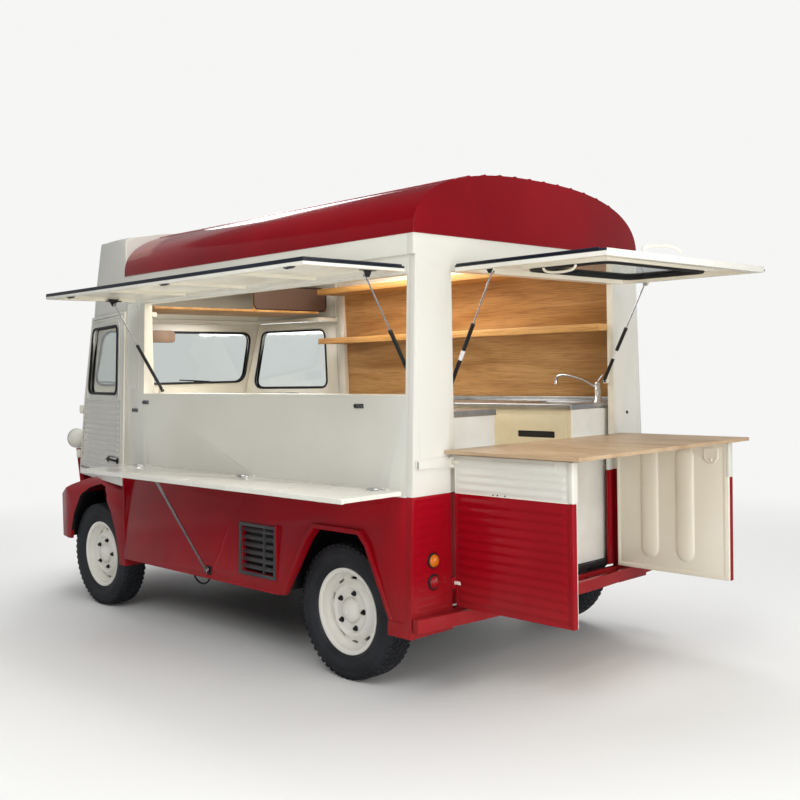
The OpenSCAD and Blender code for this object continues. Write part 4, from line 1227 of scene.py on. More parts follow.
@dataclass
class Awning:
    """The side hatch that lifts to a canopy, with its seal, latches and gas struts."""

    x: Point2 = (-530, 1855)
    y: Point2 = (951.6, 1545.4)
    top: float = 2032
    strut_x: Point2 = (-470, 1792)
    foot: Point2 = (825, 1457)
    head: Point2 = (1140, 1985)

    def panel(self) -> None:
        """Rounds the panel, gives its underside a warm cream lightened as painted light, and blackens the strut
        plates.
        """
        panel = Bench.soften("awning", "awning", Finish.HATCH_CREAM_PAINTED_LIGHT, 3.0, 3)
        Bench.divide(panel, DATUM.at(0, 0, self.top - 11), UP)
        # The underside takes the inner cream, lightened as painted light for its shade.
        Bench.paint(panel, Finish.INNER_CREAM_PAINTED_LIGHT,
            lambda p, n: p.z < self.top - 4 and 990 < p.y < 1505 and self.x[0] + 6 < p.x < self.x[1] - 6)
        Bench.paint(panel, Finish.NAVY, lambda p, n: p.z > self.top - 11 and n.z < 0.9 and (
            p.y > self.y[1] - 4 or not self.x[0] + 4 < p.x < self.x[1] - 4))
        Bench.paint(panel, Finish.BLACK, lambda p, n: p.z < 2005 and (
            abs(p.x + 485) < 8 or abs(p.x - 1807) < 8) and abs(p.y - 1140) < 60)
        seal = [Bench.box("seal_outer", self.x, (self.y[1] - 11, self.y[1]), (self.top - 6, self.top + 8), 3),
            Bench.box("seal_rear", (self.x[0], self.x[0] + 11), (self.y[0] + 14, self.y[1] - 8),
            (self.top - 6, self.top + 8), 3), Bench.box("seal_front", (self.x[1] - 11, self.x[1]),
            (self.y[0] + 14, self.y[1] - 8), (self.top - 6, self.top + 8), 3)]
        Bench.finish(Bench.join("awning_edge_seal", seal), "awning", Finish.NAVY)
        feet = []
        for x in self.strut_x:
            side = 1 if x > 0 else -1
            feet.append(Bench.slab("foot", round_loop([(self.head[0] - 46, 2010), (self.head[0] + 46, 2010),
                (self.head[0] + 46, 2004), (self.head[0] - 46, 2004)], 2.5, 2), Plane.YZ, x - 8 + side * 2,
                x + 24 * side, 0))
        Bench.finish(Bench.join("awning_bracket_feet", feet), "awning", Finish.BLACK)

    def latches(self, trims: LoadBody) -> None:
        """Three toggle latches under the outer edge."""
        for index, x in enumerate((-411, 589, 1586)):
            piece = trims.latch(f"awning_latch_{index + 1}", x, 1525, 2007, 24, "awning")
            spot = DATUM.at(x, 1525, 2007)
            piece.data.transform(Matrix.Translation(spot) @ Matrix.Rotation(math.radians(-90), 4,
                "X") @ Matrix.Translation(-spot))

    def build(self, trims: LoadBody) -> None:
        """Builds the canopy and its struts."""
        self.panel()
        self.latches(trims)
        dress("awning_strut_barrels", Finish.STRUT)
        dress("awning_strut_rods", Finish.ROD)
        direction = Vector((0, self.head[0] - self.foot[0], self.head[1] - self.foot[1])).normalized()
        for index, x in enumerate(self.strut_x):
            place = DATUM.at(x, *self.foot)
            strut_rings(f"awning_strut_{index + 1}", place, direction, "awning_strut_barrels", False)


def strut_rings(name: str, foot: Vector, direction: Vector, body: str, banded: bool) -> None:
    """Gland, crimped foot and, where banded, a pale band on a gas strut's cylinder."""
    gland = Bench.turned(f"{name}_gland", [(4.6, 333), (8, 333), (10.4, 330), (10.6, 318), (10, 314),
        (4.6, 314)], foot, direction, 28, True)
    crimp = Bench.turned(f"{name}_crimp", [(5.2, 9), (8, 10), (10.6, 16), (10.6, 24), (10.1, 26), (5.2, 26)],
        foot, direction, 28, True)
    Bench.finish(Bench.join(f"{name}_ends", [gland, crimp]), body, Finish.STRUT)
    if banded:
        band = Bench.turned(f"{name}_band", [(9.8, 142), (10.5, 142.5), (10.5, 191.5), (9.8, 192)], foot,
            direction, 32, True)
        Bench.finish(band, body, Finish.LABEL)


@dataclass
class Shelf:
    """The folding serving shelf, its bright hinges and its stay."""

    x: Point2 = (-506, 1900)
    y: Point2 = (976, 1335.7)
    z: Point2 = (977, 997)
    stations: tuple[float, ...] = (-363, 688, 1779)

    def hinge(self, x: float) -> None:
        """One bright hinge: a leaf on the shelf with screws and a looped catch."""
        leaf = Bench.box(f"shelf_leaf_{x:.0f}", (x - 48, x + 48), (984, 1024), (996, 999.5), 1)
        bridge = Bench.box("bridge", (x - 15, x + 15), (984, 1030), (999, 1008), 3, 3)
        loop = Bench.tube("loop", [DATUM.at(x + a, b, 1003) for a, b in ((-30, 990), (-34, 1014), (-26, 1034),
            (26, 1034), (34, 1014), (30, 990))], 3)
        screws = [Bench.turned("screw", [(0, 3.4), (4, 2.8), (5.5, 0.8), (5.5, -1)],
            DATUM.at(x + a, b, 999.5), UP, 14) for a in (-40, 40) for b in (992, 1016)]
        Bench.finish(Bench.join(f"shelf_hinge_{int(x) % 1000:03d}", [leaf, bridge, loop, *screws]),
            "serving_shelf", Finish.CHROME)

    def build(self) -> None:
        """Builds the shelf."""
        Bench.soften("serving_shelf", "serving_shelf", Finish.HATCH_CREAM_PAINTED_LIGHT, 4.0, 3)
        lip = Bench.box("shelf_front_lip", (self.x[0] + 2, self.x[1] - 2), (self.y[1] - 14, self.y[1] + 2.5),
            (self.z[0] - 4, self.z[1] + 1), 4, 3)
        Bench.finish(lip, "serving_shelf", Finish.HATCH_CREAM_PAINTED_LIGHT)
        battens = [Bench.box("batten", (x - 16, x + 16), (1030, 1318), (968, 978), 3) for x in (-320,
            420, 1080, 1720)]
        Bench.finish(Bench.join("shelf_battens", battens), "serving_shelf", Finish.HATCH_CREAM_PAINTED_LIGHT)
        for x in self.stations:
            self.hinge(x)
        dress("shelf_stay", Finish.ROD)
        foot = Bench.box("stay_foot_plate", (1058, 1102), (976, 985), (406, 456), 3, 3)
        pin = Bench.turned("stay_foot_pin", [(0, 26), (5, 25), (6.5, 22), (6.5, 0)],
            DATUM.at(1080, 984, 431), LEFT, 20)
        Bench.finish(Bench.join("stay_foot_bracket", [foot, pin]), "vehicle", Finish.BLACK)
        dress("sill_lead", Finish.BLACK)


# ---------------------------------------------------------------- rear


@dataclass
class RearOpening:
    """Tailgate, half doors and the board that bridges them."""

    gate_x: Point2 = (-1452, -603)
    gate_half: float = 690
    strut_foot: Point2 = (-515, 1474)
    strut_head: Point2 = (-790, 2004)
    strut_y: float = 640
    door_x: Point2 = (-1265, -580)
    door_y: Point2 = (660, 695)
    door_z: Point2 = (425, 1149)
    split_z: float = 970

    def tailgate(self) -> None:
        """The lifting gate: rounded panel, seals, gaskets, grip and lever."""
        gate = Bench.soften("tailgate", "tailgate", Finish.HATCH_CREAM_PAINTED_LIGHT, 3.0, 3)
        Bench.divide(gate, DATUM.at(0, 0, 2034), UP)
        Bench.paint(gate, Finish.NAVY, lambda p, n: p.z > 2034 and abs(n.y) > 0.4 and abs(p.y) > 684
                    and p.x > -1430)
        # The gate's underside takes the inner cream, lightened as painted light for its shade.
        Bench.paint(gate, Finish.INNER_CREAM_PAINTED_LIGHT,
            lambda p, n: p.z < 2042 and -1430 < p.x < -620 and abs(p.y) < 668)
        Bench.paint(gate, Finish.BLACK, lambda p, n: p.z < 2013 and abs(p.x + 790) < 50 and abs(p.y) > 640)
        dress("tailgate_window", Finish.GLASS)
        outline = round_loop([(-1277, 430), (-827, 430), (-827, -430), (-1277, -430)], 62, 8)
        gaskets = [Bench.tube("gasket", [DATUM.at(x, y, z) for x, y in outline], r, True) for z,
            r in ((2040, 10), (2021, 12))]
        Bench.finish(Bench.join("tailgate_gasket", gaskets), "tailgate", Finish.BLACK, 60)
        seals = []
        for y in (-self.gate_half, self.gate_half - 11):
            seals.append(Bench.box("side_seal", (self.gate_x[0] + 40, self.gate_x[1] - 6), (y, y + 11),
                (2038, 2052), 3))
        seals.append(Bench.box("corner_tab", (-1444, -1410), (-self.gate_half - 30, -self.gate_half + 4),
            (2024, 2033), 3))
        Bench.finish(Bench.join("tailgate_edge_seals", seals), "tailgate", Finish.NAVY)
        lever = [Bench.turned("post", [(0, 34), (9, 33), (11, 29), (11, 4), (15, 1), (15, -2), (0, -2)],
            DATUM.at(-1412, 345, 2045), UP, 24), Bench.tube("arm", [DATUM.at(-1412, y, z) for y,
            z in ((352, 2072), (300, 2082), (210, 2092), (120, 2094), (62, 2084), (50, 2076))],
            8.5, smooth=True)]
        Bench.finish(Bench.join("tailgate_lever", lever), "tailgate", Finish.INNER_CREAM_PAINTED_LIGHT, 60)
        grip = Bench.tube("tailgate_grip", [DATUM.at(x, y, z) for x, y, z in ((-960, 478, 2014),
            (-962, 476, 1998), (-1010, 474, 1988), (-1090, 474, 1988), (-1138, 476, 1998),
            (-1140, 478, 2014))], 6, smooth=True)
        Bench.finish(grip, "tailgate", Finish.INNER_CREAM_PAINTED_LIGHT, 60)

    def struts(self) -> None:
        """Dresses the tailgate's gas struts, whose cylinders carry a pale band."""
        dress("gate_strut_barrels", Finish.STRUT)
        dress("gate_strut_rods", Finish.ROD)
        direction = Vector((self.strut_head[0] - self.strut_foot[0], 0,
            self.strut_head[1] - self.strut_foot[1]))
        for side, y in (("left", self.strut_y), ("right", -self.strut_y)):
            place = DATUM.at(self.strut_foot[0], y, self.strut_foot[1])
            strut_rings(f"gate_strut_{side}", place, direction.normalized(), "gate_strut_barrels", True)

    def outer_skin(self, name: str, z: Point2, pitch: float, margin: float) -> Piece:
        """A ribbed outer skin of the left half door between two heights."""
        x0, x1 = self.door_x[0] + 20, self.door_x[1] - 8
        y = self.door_y[1] - 0.4
        corners = [DATUM.at(x1, y, z[0]), DATUM.at(x0, y, z[0]), DATUM.at(x0, y, z[1]), DATUM.at(x1, y, z[1])]
        span = z[1] - z[0]
        return Bench.sheet(name, corners, (60, int(span / 3.2)), ribs(pitch, 6.0, span, margin, 14,
            x1 - x0), 1.2)

    def inner_panel(self) -> Piece:
        """The inner panel with its two tall rounded pressings and a raised border."""
        x0, x1 = self.door_x[0] + 16, self.door_x[1] - 6
        z0, z1 = self.door_z[0] + 10, self.door_z[1] - 8
        y = self.door_y[0] + 0.6
        corners = [DATUM.at(x0, y, z0), DATUM.at(x1, y, z0), DATUM.at(x1, y, z1), DATUM.at(x0, y, z1)]

        def pad(x: float, z: float, centre: float) -> float:
            """Height of one pressing at a place."""
            run = max(abs(z - 806) - 255, 0)
            gap = math.hypot(x - centre, run) / 54
            return 15 * math.sqrt(max(1 - gap * gap, 0.0)) if gap < 1 else 0.0

        def rise(u: float, v: float) -> float:
            """Height of the panel: two pressings inside a low border."""
            x, z = x0 + u * (x1 - x0), z0 + v * (z1 - z0)
            border = min(u * (x1 - x0), (1 - u) * (x1 - x0), v * (z1 - z0), (1 - v) * (z1 - z0))
            edge = 3.0 * min(max((18 - border) / 8, 0.0), 1.0)
            return 0.3 + edge + pad(x, z, -793) + pad(x, z, -1010)

        return Bench.sheet("left_half_door_inner", corners, (150, 150), rise, 1.2)

    def half_door_parts(self) -> dict[str, tuple[Piece, Finish]]:
        """Every piece of the left half door with its finish."""
        x0, x1 = self.door_x
        y0, y1 = self.door_y
        core = Bench.box("core", (x0, x1), (y0, y1 - 1), self.door_z, 4, 3)
        hinges = []
        for z in (540, 1116):
            hinges.append(Bench.turned("knuckle", [(0, -8), (4.5, -8), (4.5, 8), (0, 8)],
                DATUM.at(-575, 695, z), UP, 20))
            hinges.append(Bench.box("leaf", (-610, -577), (y1 - 3, y1 + 3), (z - 8, z + 8), 1.5))
        strap = Bench.box("strap", (-1180, -600), (y1 - 1, y1 + 2.5), (1100, 1132), 1.5)
        edge = Bench.box("free_edge", (x0 - 3, x0 + 22), (y0 - 2, y1 + 3.5),
            (self.split_z, self.door_z[1]), 4, 3)
        red_edge = Bench.box("free_edge_red", (x0 - 3, x0 + 22), (y0 + 8, y1 + 3.5),
            (self.door_z[0], self.split_z - 1), 4, 3)
        pull = Bench.slab("pull_plate", round_loop([(-1208, 1118), (-1122, 1118), (-1122, 1062),
            (-1148, 1034), (-1182, 1034), (-1208, 1062)], 9, 4), Plane.XZ, y0 - 5, y0 + 2, 2, 2)
        dish = Bench.slab("pull_dish", round_loop([(-1198, 1110), (-1132, 1110), (-1132, 1066), (-1152, 1044),
            (-1178, 1044), (-1198, 1066)], 7, 4), Plane.XZ, y0 - 12, y0 - 2)
        Bench.cut(pull, dish)
        catch = Bench.turned("pull_catch", [(0, 9), (7, 8), (9, 4), (9, 0)],
            DATUM.at(-1165, y0, 1056), -LEFT, 20)
        dots = [Bench.turned("stud", [(0, 2.2), (3, 1.6), (4, 0), (4, -1)],
            DATUM.at(x, y1 + 0.2, self.split_z + 6), LEFT, 12) for x in (-820, -846, -890)]
        return {
            "core": (core, Finish.INNER_CREAM_PAINTED_LIGHT),
            "upper_skin": (self.outer_skin("upper", (972, 1092), 36, 4), Finish.CREAM),
            "lower_skin": (self.outer_skin("lower", (430, 968), 42, 8), Finish.RED),
            "top_band": (Bench.join("band", [Bench.box("top_band", (x0 + 4, x1 - 2), (y1 - 4, y1 + 0.6),
                                                       (1092, 1149), 2.5), strap, edge]), Finish.CREAM),
            "red_border": (Bench.join("border", [red_edge,
                                                 Bench.box("foot", (x0 + 4, x1 - 2), (y1 - 10, y1 + 1.2),
                                                           (425, 438), 3),
                                                 Bench.box("hinge_edge", (x1 - 12, x1), (y0 + 4, y1 + 1.2),
                                                           (425, self.split_z - 1), 3)]), Finish.RED),
            "inner": (self.inner_panel(), Finish.INNER_CREAM_PAINTED_LIGHT),
            "pull": (Bench.join("pull", [pull, catch]), Finish.INNER_CREAM_PAINTED_LIGHT),
            "hinges": (Bench.join("hinges", hinges), Finish.INNER_CREAM_PAINTED_LIGHT),
            "studs": (Bench.join("studs", dots), Finish.BLACK),
        }

    def half_doors(self) -> None:
        """Builds the left half door and mirrors it to the right."""
        for name, (piece, finish) in self.half_door_parts().items():
            piece.name = piece.data.name = f"left_half_door_{name}"
            smooth = 60 if "skin" in name or name == "inner" else 38
            Bench.pair(piece, "left_rear_door", finish, smooth, ["left_rear_door"] if name == "core" else [])

    def fixed_trims(self) -> None:
        """The straps on the pillars beside the rear opening, and the rebates behind the half doors."""
        for side, k in (("left", 1), ("right", -1)):
            y = sorted((k * 700, k * 925))
            strap = Bench.box(f"{side}_pillar_strap", (-574, -561), (y[0], y[1]), (1096, 1136), 3, 3)
            tip = Bench.tube("strap_loop", [DATUM.at(-572, k * v, z) for v, z in ((905, 1098), (936, 1098),
                (938, 1116), (936, 1134), (905, 1134))], 3)
            Bench.finish(Bench.join(f"{side}_pillar_straps", [strap, tip]), "vehicle", Finish.CREAM)
            inner, outer = sorted((k * 640, k * 702))
            for part, z0, z1, finish in (("lower", 425, 966, Finish.RED), ("upper", 966, 1148, Finish.CREAM)):
                rebate = Bench.box(f"{side}_door_rebate_{part}", (-534, -522), (inner, outer), (z0, z1), 2.5)
                Bench.finish(rebate, "vehicle", finish)

    def board(self) -> None:
        """The varnished board over the open half doors, and its cleats."""
        Bench.soften("rear_board", "vehicle", Finish.BOARD, 3.0, 3)
        cleats = [Bench.box("cleat", (-1230, -640), (y, y + 28), (1149.5, 1157.5), 2) for y in (-640, 610)]
        Bench.finish(Bench.join("board_cleats", cleats), "vehicle", Finish.BOARD)

    def build(self) -> None:
        """Builds everything round the rear opening."""
        self.tailgate()
        self.struts()
        self.half_doors()
        self.fixed_trims()
        self.board()


# ---------------------------------------------------------------- wheels


@dataclass
class Wheel:
    """One road wheel, modelled as the left rear one and copied, in vehicle millimetres."""

    radius: float = 345
    width: float = 175
    rim: float = 219
    tread: float = 7
    pitches: int = 54
    hub_y: float = 820
    nut_circle: float = 93
    nut_seat: float = 812
    nut_turn: float = 0.47
    slot_circle: float = 164
    base: float = 2527

    def place(self) -> tuple[Vector, Vector]:
        """Centre and outward axis of the left rear wheel."""
        return DATUM.at(0, self.hub_y, self.radius), LEFT

    def carcass(self) -> Piece:
        """The tyre's body with bead, sidewall rings and the floor of the tread."""
        r, b, half = self.radius - self.tread, self.rim, self.width / 2
        outer = [(b - 15, 44), (b - 15, 57), (b + 1, 58), (b + 8, 66), (b + 14, 72), (b + 20, 76),
            (b + 24, 75.5), (b + 30, 79), (b + 46, half - 1), (b + 60, half), (b + 76, half - 0.5),
            (b + 80, half - 3), (b + 84, half - 0.8), (r - 26, half - 4), (r - 12, half - 8),
            (r - 3, half - 17), (r, half - 32)]
        inner = [(r - 9, half - 34), (b + 70, half - 18), (b + 50, half - 13), (b + 30, 68), (b + 8, 50)]
        # The inner wall runs back from the far bead to the near one
        profile = outer + [(a, -c) for a, c in reversed(outer)] + [(a, -c) for a,
            c in reversed(inner)] + inner
        centre, axis = self.place()
        return Bench.turned("tyre_carcass", profile, centre, axis, 96, True)

    def block(self, turn: float, across: float, wide: float, deep: float, skew: float) -> list[Vector]:
        """The eight corners of one tread block, in metres about the wheel's centre."""
        corners = []
        for radius in (self.radius - self.tread - 2, self.radius - abs(across) * 0.012):
            shrink = 1.0 if radius < self.radius - 3 else 0.9
            for s, t in ((-1, -1), (1, -1), (1, 1), (-1, 1)):
                y = across + s * wide / 2 * shrink
                angle = turn + (t * deep / 2 * shrink + s * skew / 2) / self.radius
                edge = max(abs(y) - 62, 0)
                rr = radius - edge * edge * 0.02
                corners.append(Vector((rr * math.cos(angle), y, rr * math.sin(angle))) * MM)
        return corners

    def blocks(self) -> Piece:
        """All tread blocks: two middle rows and two shoulder rows of slanted lugs."""
        rows = ((-66, 25, 22, 5, 0.0), (-40, 21, 23, -14, 0.5), (-14, 24, 24, 15, 0.2),
            (14, 24, 24, -15, 0.7), (40, 21, 23, 14, 0.0), (66, 25, 22, -5, 0.5))
        centre, _ = self.place()
        parts = []
        step = math.tau / self.pitches
        Bench.clear()
        bpy.ops.mesh.primitive_cube_add(size=1)
        seed = bpy.context.object
        seed.name = seed.data.name = "tread_block"
        order = sorted(seed.data.vertices, key=lambda v: (v.co.z, math.atan2(v.co.y, v.co.x)))
        order = [v.index for v in order]
        for index in range(self.pitches):
            for across, wide, deep, skew, phase in rows:
                twin = seed.data.copy()
                for slot, place in zip(order, self.block((index + phase) * step, across, wide, deep, skew)):
                    twin.vertices[slot].co = centre + place
                obj = bpy.data.objects.new("tread_block", twin)
                bpy.context.scene.collection.objects.link(obj)
                parts.append(obj)
        bpy.data.objects.remove(seed)
        tread = Bench.join("tyre_tread", parts)
        Bench.merge(tread, distance=1e-7)
        return tread

    def disc(self) -> Piece:
        """The pressed steel rim and disc with its slots, as one turned and pierced piece."""
        r = self.rim
        profile = [(60, 22), (70, 30), (106, 31), (112, 36), (118, 40), (128, 40), (136, 34), (145, 24),
            (156, 14), (r - 44, 7), (r - 38, 9), (r - 33, 16), (r - 27, 23), (r - 23, 38), (r - 22, 58),
            (r - 16, 63), (r - 6, 65), (r, 64), (r + 1, 60), (r - 6, 59.5), (r - 14, 57), (r - 16, 50),
            (r - 17, 20), (r - 34, 4), (r - 34, -22), (r - 16, -30), (r - 16, -58), (r, -58), (r, -64),
            (r - 22, -64), (r - 22, -34), (r - 40, -26), (r - 42, -6), (146, 8), (130, 29), (117, 31),
            (107, 23), (70, 21), (60, 12)]
        centre, axis = self.place()
        disc = Bench.turned("wheel_disc", profile, centre, axis, 80, True)
        cutters = []
        for k in range(10):
            a = math.tau * (k + 0.5) / 10
            slot = []
            for t, d in ((-0.14, -7), (0.14, -7), (0.14, 7), (-0.14, 7)):
                reach = self.slot_circle + d
                slot.append((reach * math.cos(a + t), self.radius + reach * math.sin(a + t)))
            cutters.append(Bench.slab("slot", round_loop(slot, 5.5, 3), Plane.XZ, 812, 850))
        Bench.cut(disc, Bench.join("slots", cutters))
        return disc

    def cap(self) -> Piece:
        """The big domed hub cover with its small middle dimple."""
        centre, axis = self.place()
        return Bench.turned("hub_cap", [(0, 60), (5, 60), (7, 62.5), (11, 63), (28, 61), (42, 56.5), (52, 50),
            (58.5, 42), (62, 33), (63, 22), (66, 20.5), (66, 14), (23, 14), (22.4, 18.5), (0, 18.5)],
            centre, axis, 56)

    def nuts(self) -> Piece:
        """Five dark wheel nuts on their studs."""
        _, axis = self.place()
        parts = []
        for k in range(5):
            a = math.tau * (k + self.nut_turn) / 5
            spot = DATUM.at(self.nut_circle * math.cos(a), self.nut_seat,
                self.radius + self.nut_circle * math.sin(a))
            parts.append(Bench.turned("nut", [(0, 57), (6, 57), (6.5, 55), (6.5, 53), (9, 52.5), (11, 50),
                (11, 38)], spot, axis, 6))
            parts.append(Bench.turned("washer", [(0, 42), (14, 41), (15.5, 38)], spot, axis, 20))
        return Bench.join("wheel_nuts", parts)

    def drum(self) -> Piece:
        """The finned brake drum behind the disc."""
        centre, axis = self.place()
        fins = [(116 if k % 2 else 124, -14 - k * 6) for k in range(8)]
        return Bench.turned("brake_drum", [(23, -8), (60, -8), *fins, (118, -62), (23, -62)], centre,
            axis, 56, True)

    def build(self) -> None:
        """Builds one wheel and copies it to all four corners."""
        tyre = Bench.join("tyre", [self.carcass(), self.blocks()])
        parts = {"tyre": (tyre, Finish.RUBBER), "rim": (self.disc(), Finish.WHEEL_CREAM),
                 "cap": (self.cap(), Finish.WHEEL_CREAM), "nuts": (self.nuts(), Finish.BLACK),
                 "drum": (self.drum(), Finish.UNDERBODY)}
        for corner, forward in (("rear", 0.0), ("front", self.base)):
            for side in ("left", "right"):
                for name, (part, finish) in parts.items():
                    title = f"{corner}_{side}_{name}_shaped"
                    piece = Bench.moved(part, title, forward)
                    if side == "right":
                        left, piece = piece, Bench.mirrored(piece, title)
                        bpy.data.objects.remove(left)
                        piece.name = title
                    stands = [f"{corner}_{side}_{name}"] if name in ("tyre", "rim") else []
                    Bench.finish(piece, f"{corner}_{side}_wheel", finish, 34, stands)
        for part, _ in parts.values():
            bpy.data.objects.remove(part)
        dress("left_knuckle", Finish.UNDERBODY)
        dress("right_knuckle", Finish.UNDERBODY)
        Bench.soften("axles", "vehicle", Finish.UNDERBODY, 4.0)
        Bench.soften("chassis_floor", "vehicle", Finish.UNDERBODY, 4.0)


# ---------------------------------------------------------------- kitchen


@dataclass
class Kitchen:
    """Counters, worktops, tap, oak wall and shelves inside the load body."""

    front_left: float = 290
    front_right: float = -360
    x: Point2 = (-490, 1760)
    tap: Point3 = (-400, -745, 1350)

    def fronts(self, side: str, y: float, way: float) -> None:
        """Doors with hand slots on one counter's front, each darkened by a black plate of painted shade behind
        it.

        Args:
            side: "left" or "right".
            y: The counter's front face.
            way: +1 where the front faces +Y, else -1.
        """
        doors = []
        width = (self.x[1] - self.x[0] - 60) / 4
        for k in range(4):
            x0 = self.x[0] + 30 + k * width
            low, high = sorted((y, y + way * 7))
            door = Bench.slab(f"{side}_door", round_loop([(x0 + 4, 530), (x0 + width - 4, 530),
                (x0 + width - 4, 1286), (x0 + 4, 1286)], 6, 3), Plane.XZ, low, high, 2.5)
            opening = sorted((y - way * 4, y + way * 12))
            slot = Bench.slab("slot", round_loop([(x0 + 80, 1160), (x0 + 345, 1160), (x0 + 345, 1197),
                (x0 + 80, 1197)], 8, 3), Plane.XZ, opening[0], opening[1])
            doors.append(Bench.cut(door, slot))
            # A black plate behind each hand slot: painted shade for the hollow behind the door.
            back = sorted((y - way * 1, y + way * 1.6))
            dark = Bench.slab(f"{side}_slot_{k + 1}", [(x0 + 76, 1156), (x0 + 349, 1156), (x0 + 349, 1201),
                (x0 + 76, 1201)], Plane.XZ, back[0], back[1])
            Bench.finish(dark, "vehicle", Finish.BLACK)
        Bench.finish(Bench.join(f"{side}_counter_doors", doors), "vehicle", Finish.LAMINATE)

    def counters(self) -> None:
        """Rounds the counters and worktops, whitens their ends and adds fronts, drain and upstand."""
        body = Bench.soften("kitchen_counters", "vehicle", Finish.LAMINATE, 2.0)
        Bench.paint(body, Finish.PALE_LAMINATE, lambda p, n: n.x < -0.5)
        self.fronts("left", self.front_left, -1)
        self.fronts("right", self.front_right, 1)
        Bench.soften("worktops", "vehicle", Finish.WORKTOP, 3.0, 3)
        drain = Bench.turned("sink_drain", [(0, 2), (26, 2), (30, 3.6), (38, 3.2), (40, 0)],
            DATUM.at(-180, -620, 1199), UP, 32)
        Bench.finish(drain, "vehicle", Finish.CHROME)
        splash = Bench.box("worktop_upstand", (-496, 1770), (-867, -862), (1350, 1376), 2)
        Bench.finish(splash, "vehicle", Finish.WORKTOP)

    def mixer(self) -> None:
        """The tall mixer tap: body, swept spout and side lever."""
        x, y, z = self.tap
        body = Bench.turned("tap_body", [(0, 118), (10, 118), (15, 114), (17, 106), (16, 84), (18, 80),
            (20, 74), (20, 10), (24, 6), (26, 0), (0, 0)], DATUM.at(x, y, z), UP, 36)
        spout = Bench.tube("tap_spout", [DATUM.at(x + a, y + b, z + c) for a, b,
            c in ((6, 4, 88), (50, 14, 112), (120, 24, 142), (200, 34, 160), (250, 40, 158), (270, 42, 140),
            (272, 42, 122))], 8.5, smooth=True, sides=4)
        tip = Bench.turned("tap_tip", [(0, 0), (10, 0), (11, 4), (11, 24), (0, 24)], DATUM.at(x + 272, y + 42,
            z + 104), UP, 24)
        lever = Bench.tube("tap_lever", [DATUM.at(x + a, y + b, z + c) for a, b,
            c in ((0, 0, 116), (-14, 6, 134), (-52, 22, 158))], 5, smooth=True)
        Bench.finish(Bench.join("mixer_tap_shaped", [body, spout, tip, lever]), "vehicle", Finish.CHROME, 50,
            ["mixer_tap"])

    def lining(self) -> None:
        """The oak wall, its shelves with paler edge boards, and the covers of the posts."""
        Bench.soften("oak_lining", "vehicle", Finish.OAK, 2.0)
        edges = [Bench.box("edge", (-518, 1958), (-602, -594), (z - 2, z + 40), 2.5, 3) for z in (1760, 2122)]
        Bench.finish(Bench.join("oak_edge_boards", edges), "vehicle", Finish.OAK_EDGE)
        Bench.soften("overhead_shelf", "vehicle", Finish.OAK_EDGE, 2.0)
        posts = [Bench.box("rear_post_cover", (-519, -470), (-880, -850), (1352, 2165), 4, 3),
            Bench.box("front_post_cover", (1950, 2000), (-885, -840), (1352, 2165), 4, 3)]
        Bench.finish(Bench.join("lining_posts", posts), "vehicle", Finish.INNER_CREAM_PAINTED_LIGHT)

    def perforated_panel(self) -> None:
        """The punched steel panel over the cab shelf, with its rubber edge."""
        outline = round_loop([(-786, 2012), (-114, 2012), (-114, 2182), (-786, 2182)], 48, 6)
        panel = Bench.slab("perforated_panel", outline, Plane.YZ, 2086, 2089.6)
        Bench.finish(panel, "vehicle", Finish.PERFORATED)
        edge = Bench.tube("perforated_edge", [DATUM.at(2087, y, z) for y, z in outline], 5, True)
        Bench.finish(edge, "vehicle", Finish.BLACK, 60)

    def ceiling(self) -> None:
        """Ribs across the roof's inside and a slim lamp at its middle."""
        hoops = []
        for x in (-90, 520, 1130, 1740):
            line = []
            for k in range(25):
                turn = math.pi * (k + 1.2) / 26.4
                c, s = math.cos(turn), math.sin(turn)
                line.append(DATUM.at(x, 885 * math.copysign(abs(c) ** (2 / 2.45), c),
                    2182 + 302 * s ** (2 / 2.45)))
            hoops.append(Bench.tube("hoop", line, 11, sides=4))
        Bench.finish(Bench.join("roof_hoops", hoops), "vehicle", Finish.INNER_CREAM_PAINTED_LIGHT, 60)
        lamp = Bench.slab("ceiling_lamp", round_loop([(200, -45), (900, -45), (900, 45), (200, 45)], 20, 5),
            Plane.XY, 2452, 2480, 8, 3)
        Bench.finish(lamp, "vehicle", Finish.PALE_LAMINATE)

    def floor(self) -> None:
        """A pale board on the load floor between the counters."""
        plank = Bench.box("floor_board", (-515, 2040), (-352, 282), (456, 462), 2)
        Bench.finish(plank, "vehicle", Finish.PALE_LAMINATE)

    def build(self) -> None:
        """Builds the kitchen."""
        self.counters()
        self.mixer()
        self.lining()
        self.perforated_panel()
        self.ceiling()
        self.floor()


# ---------------------------------------------------------------- stage


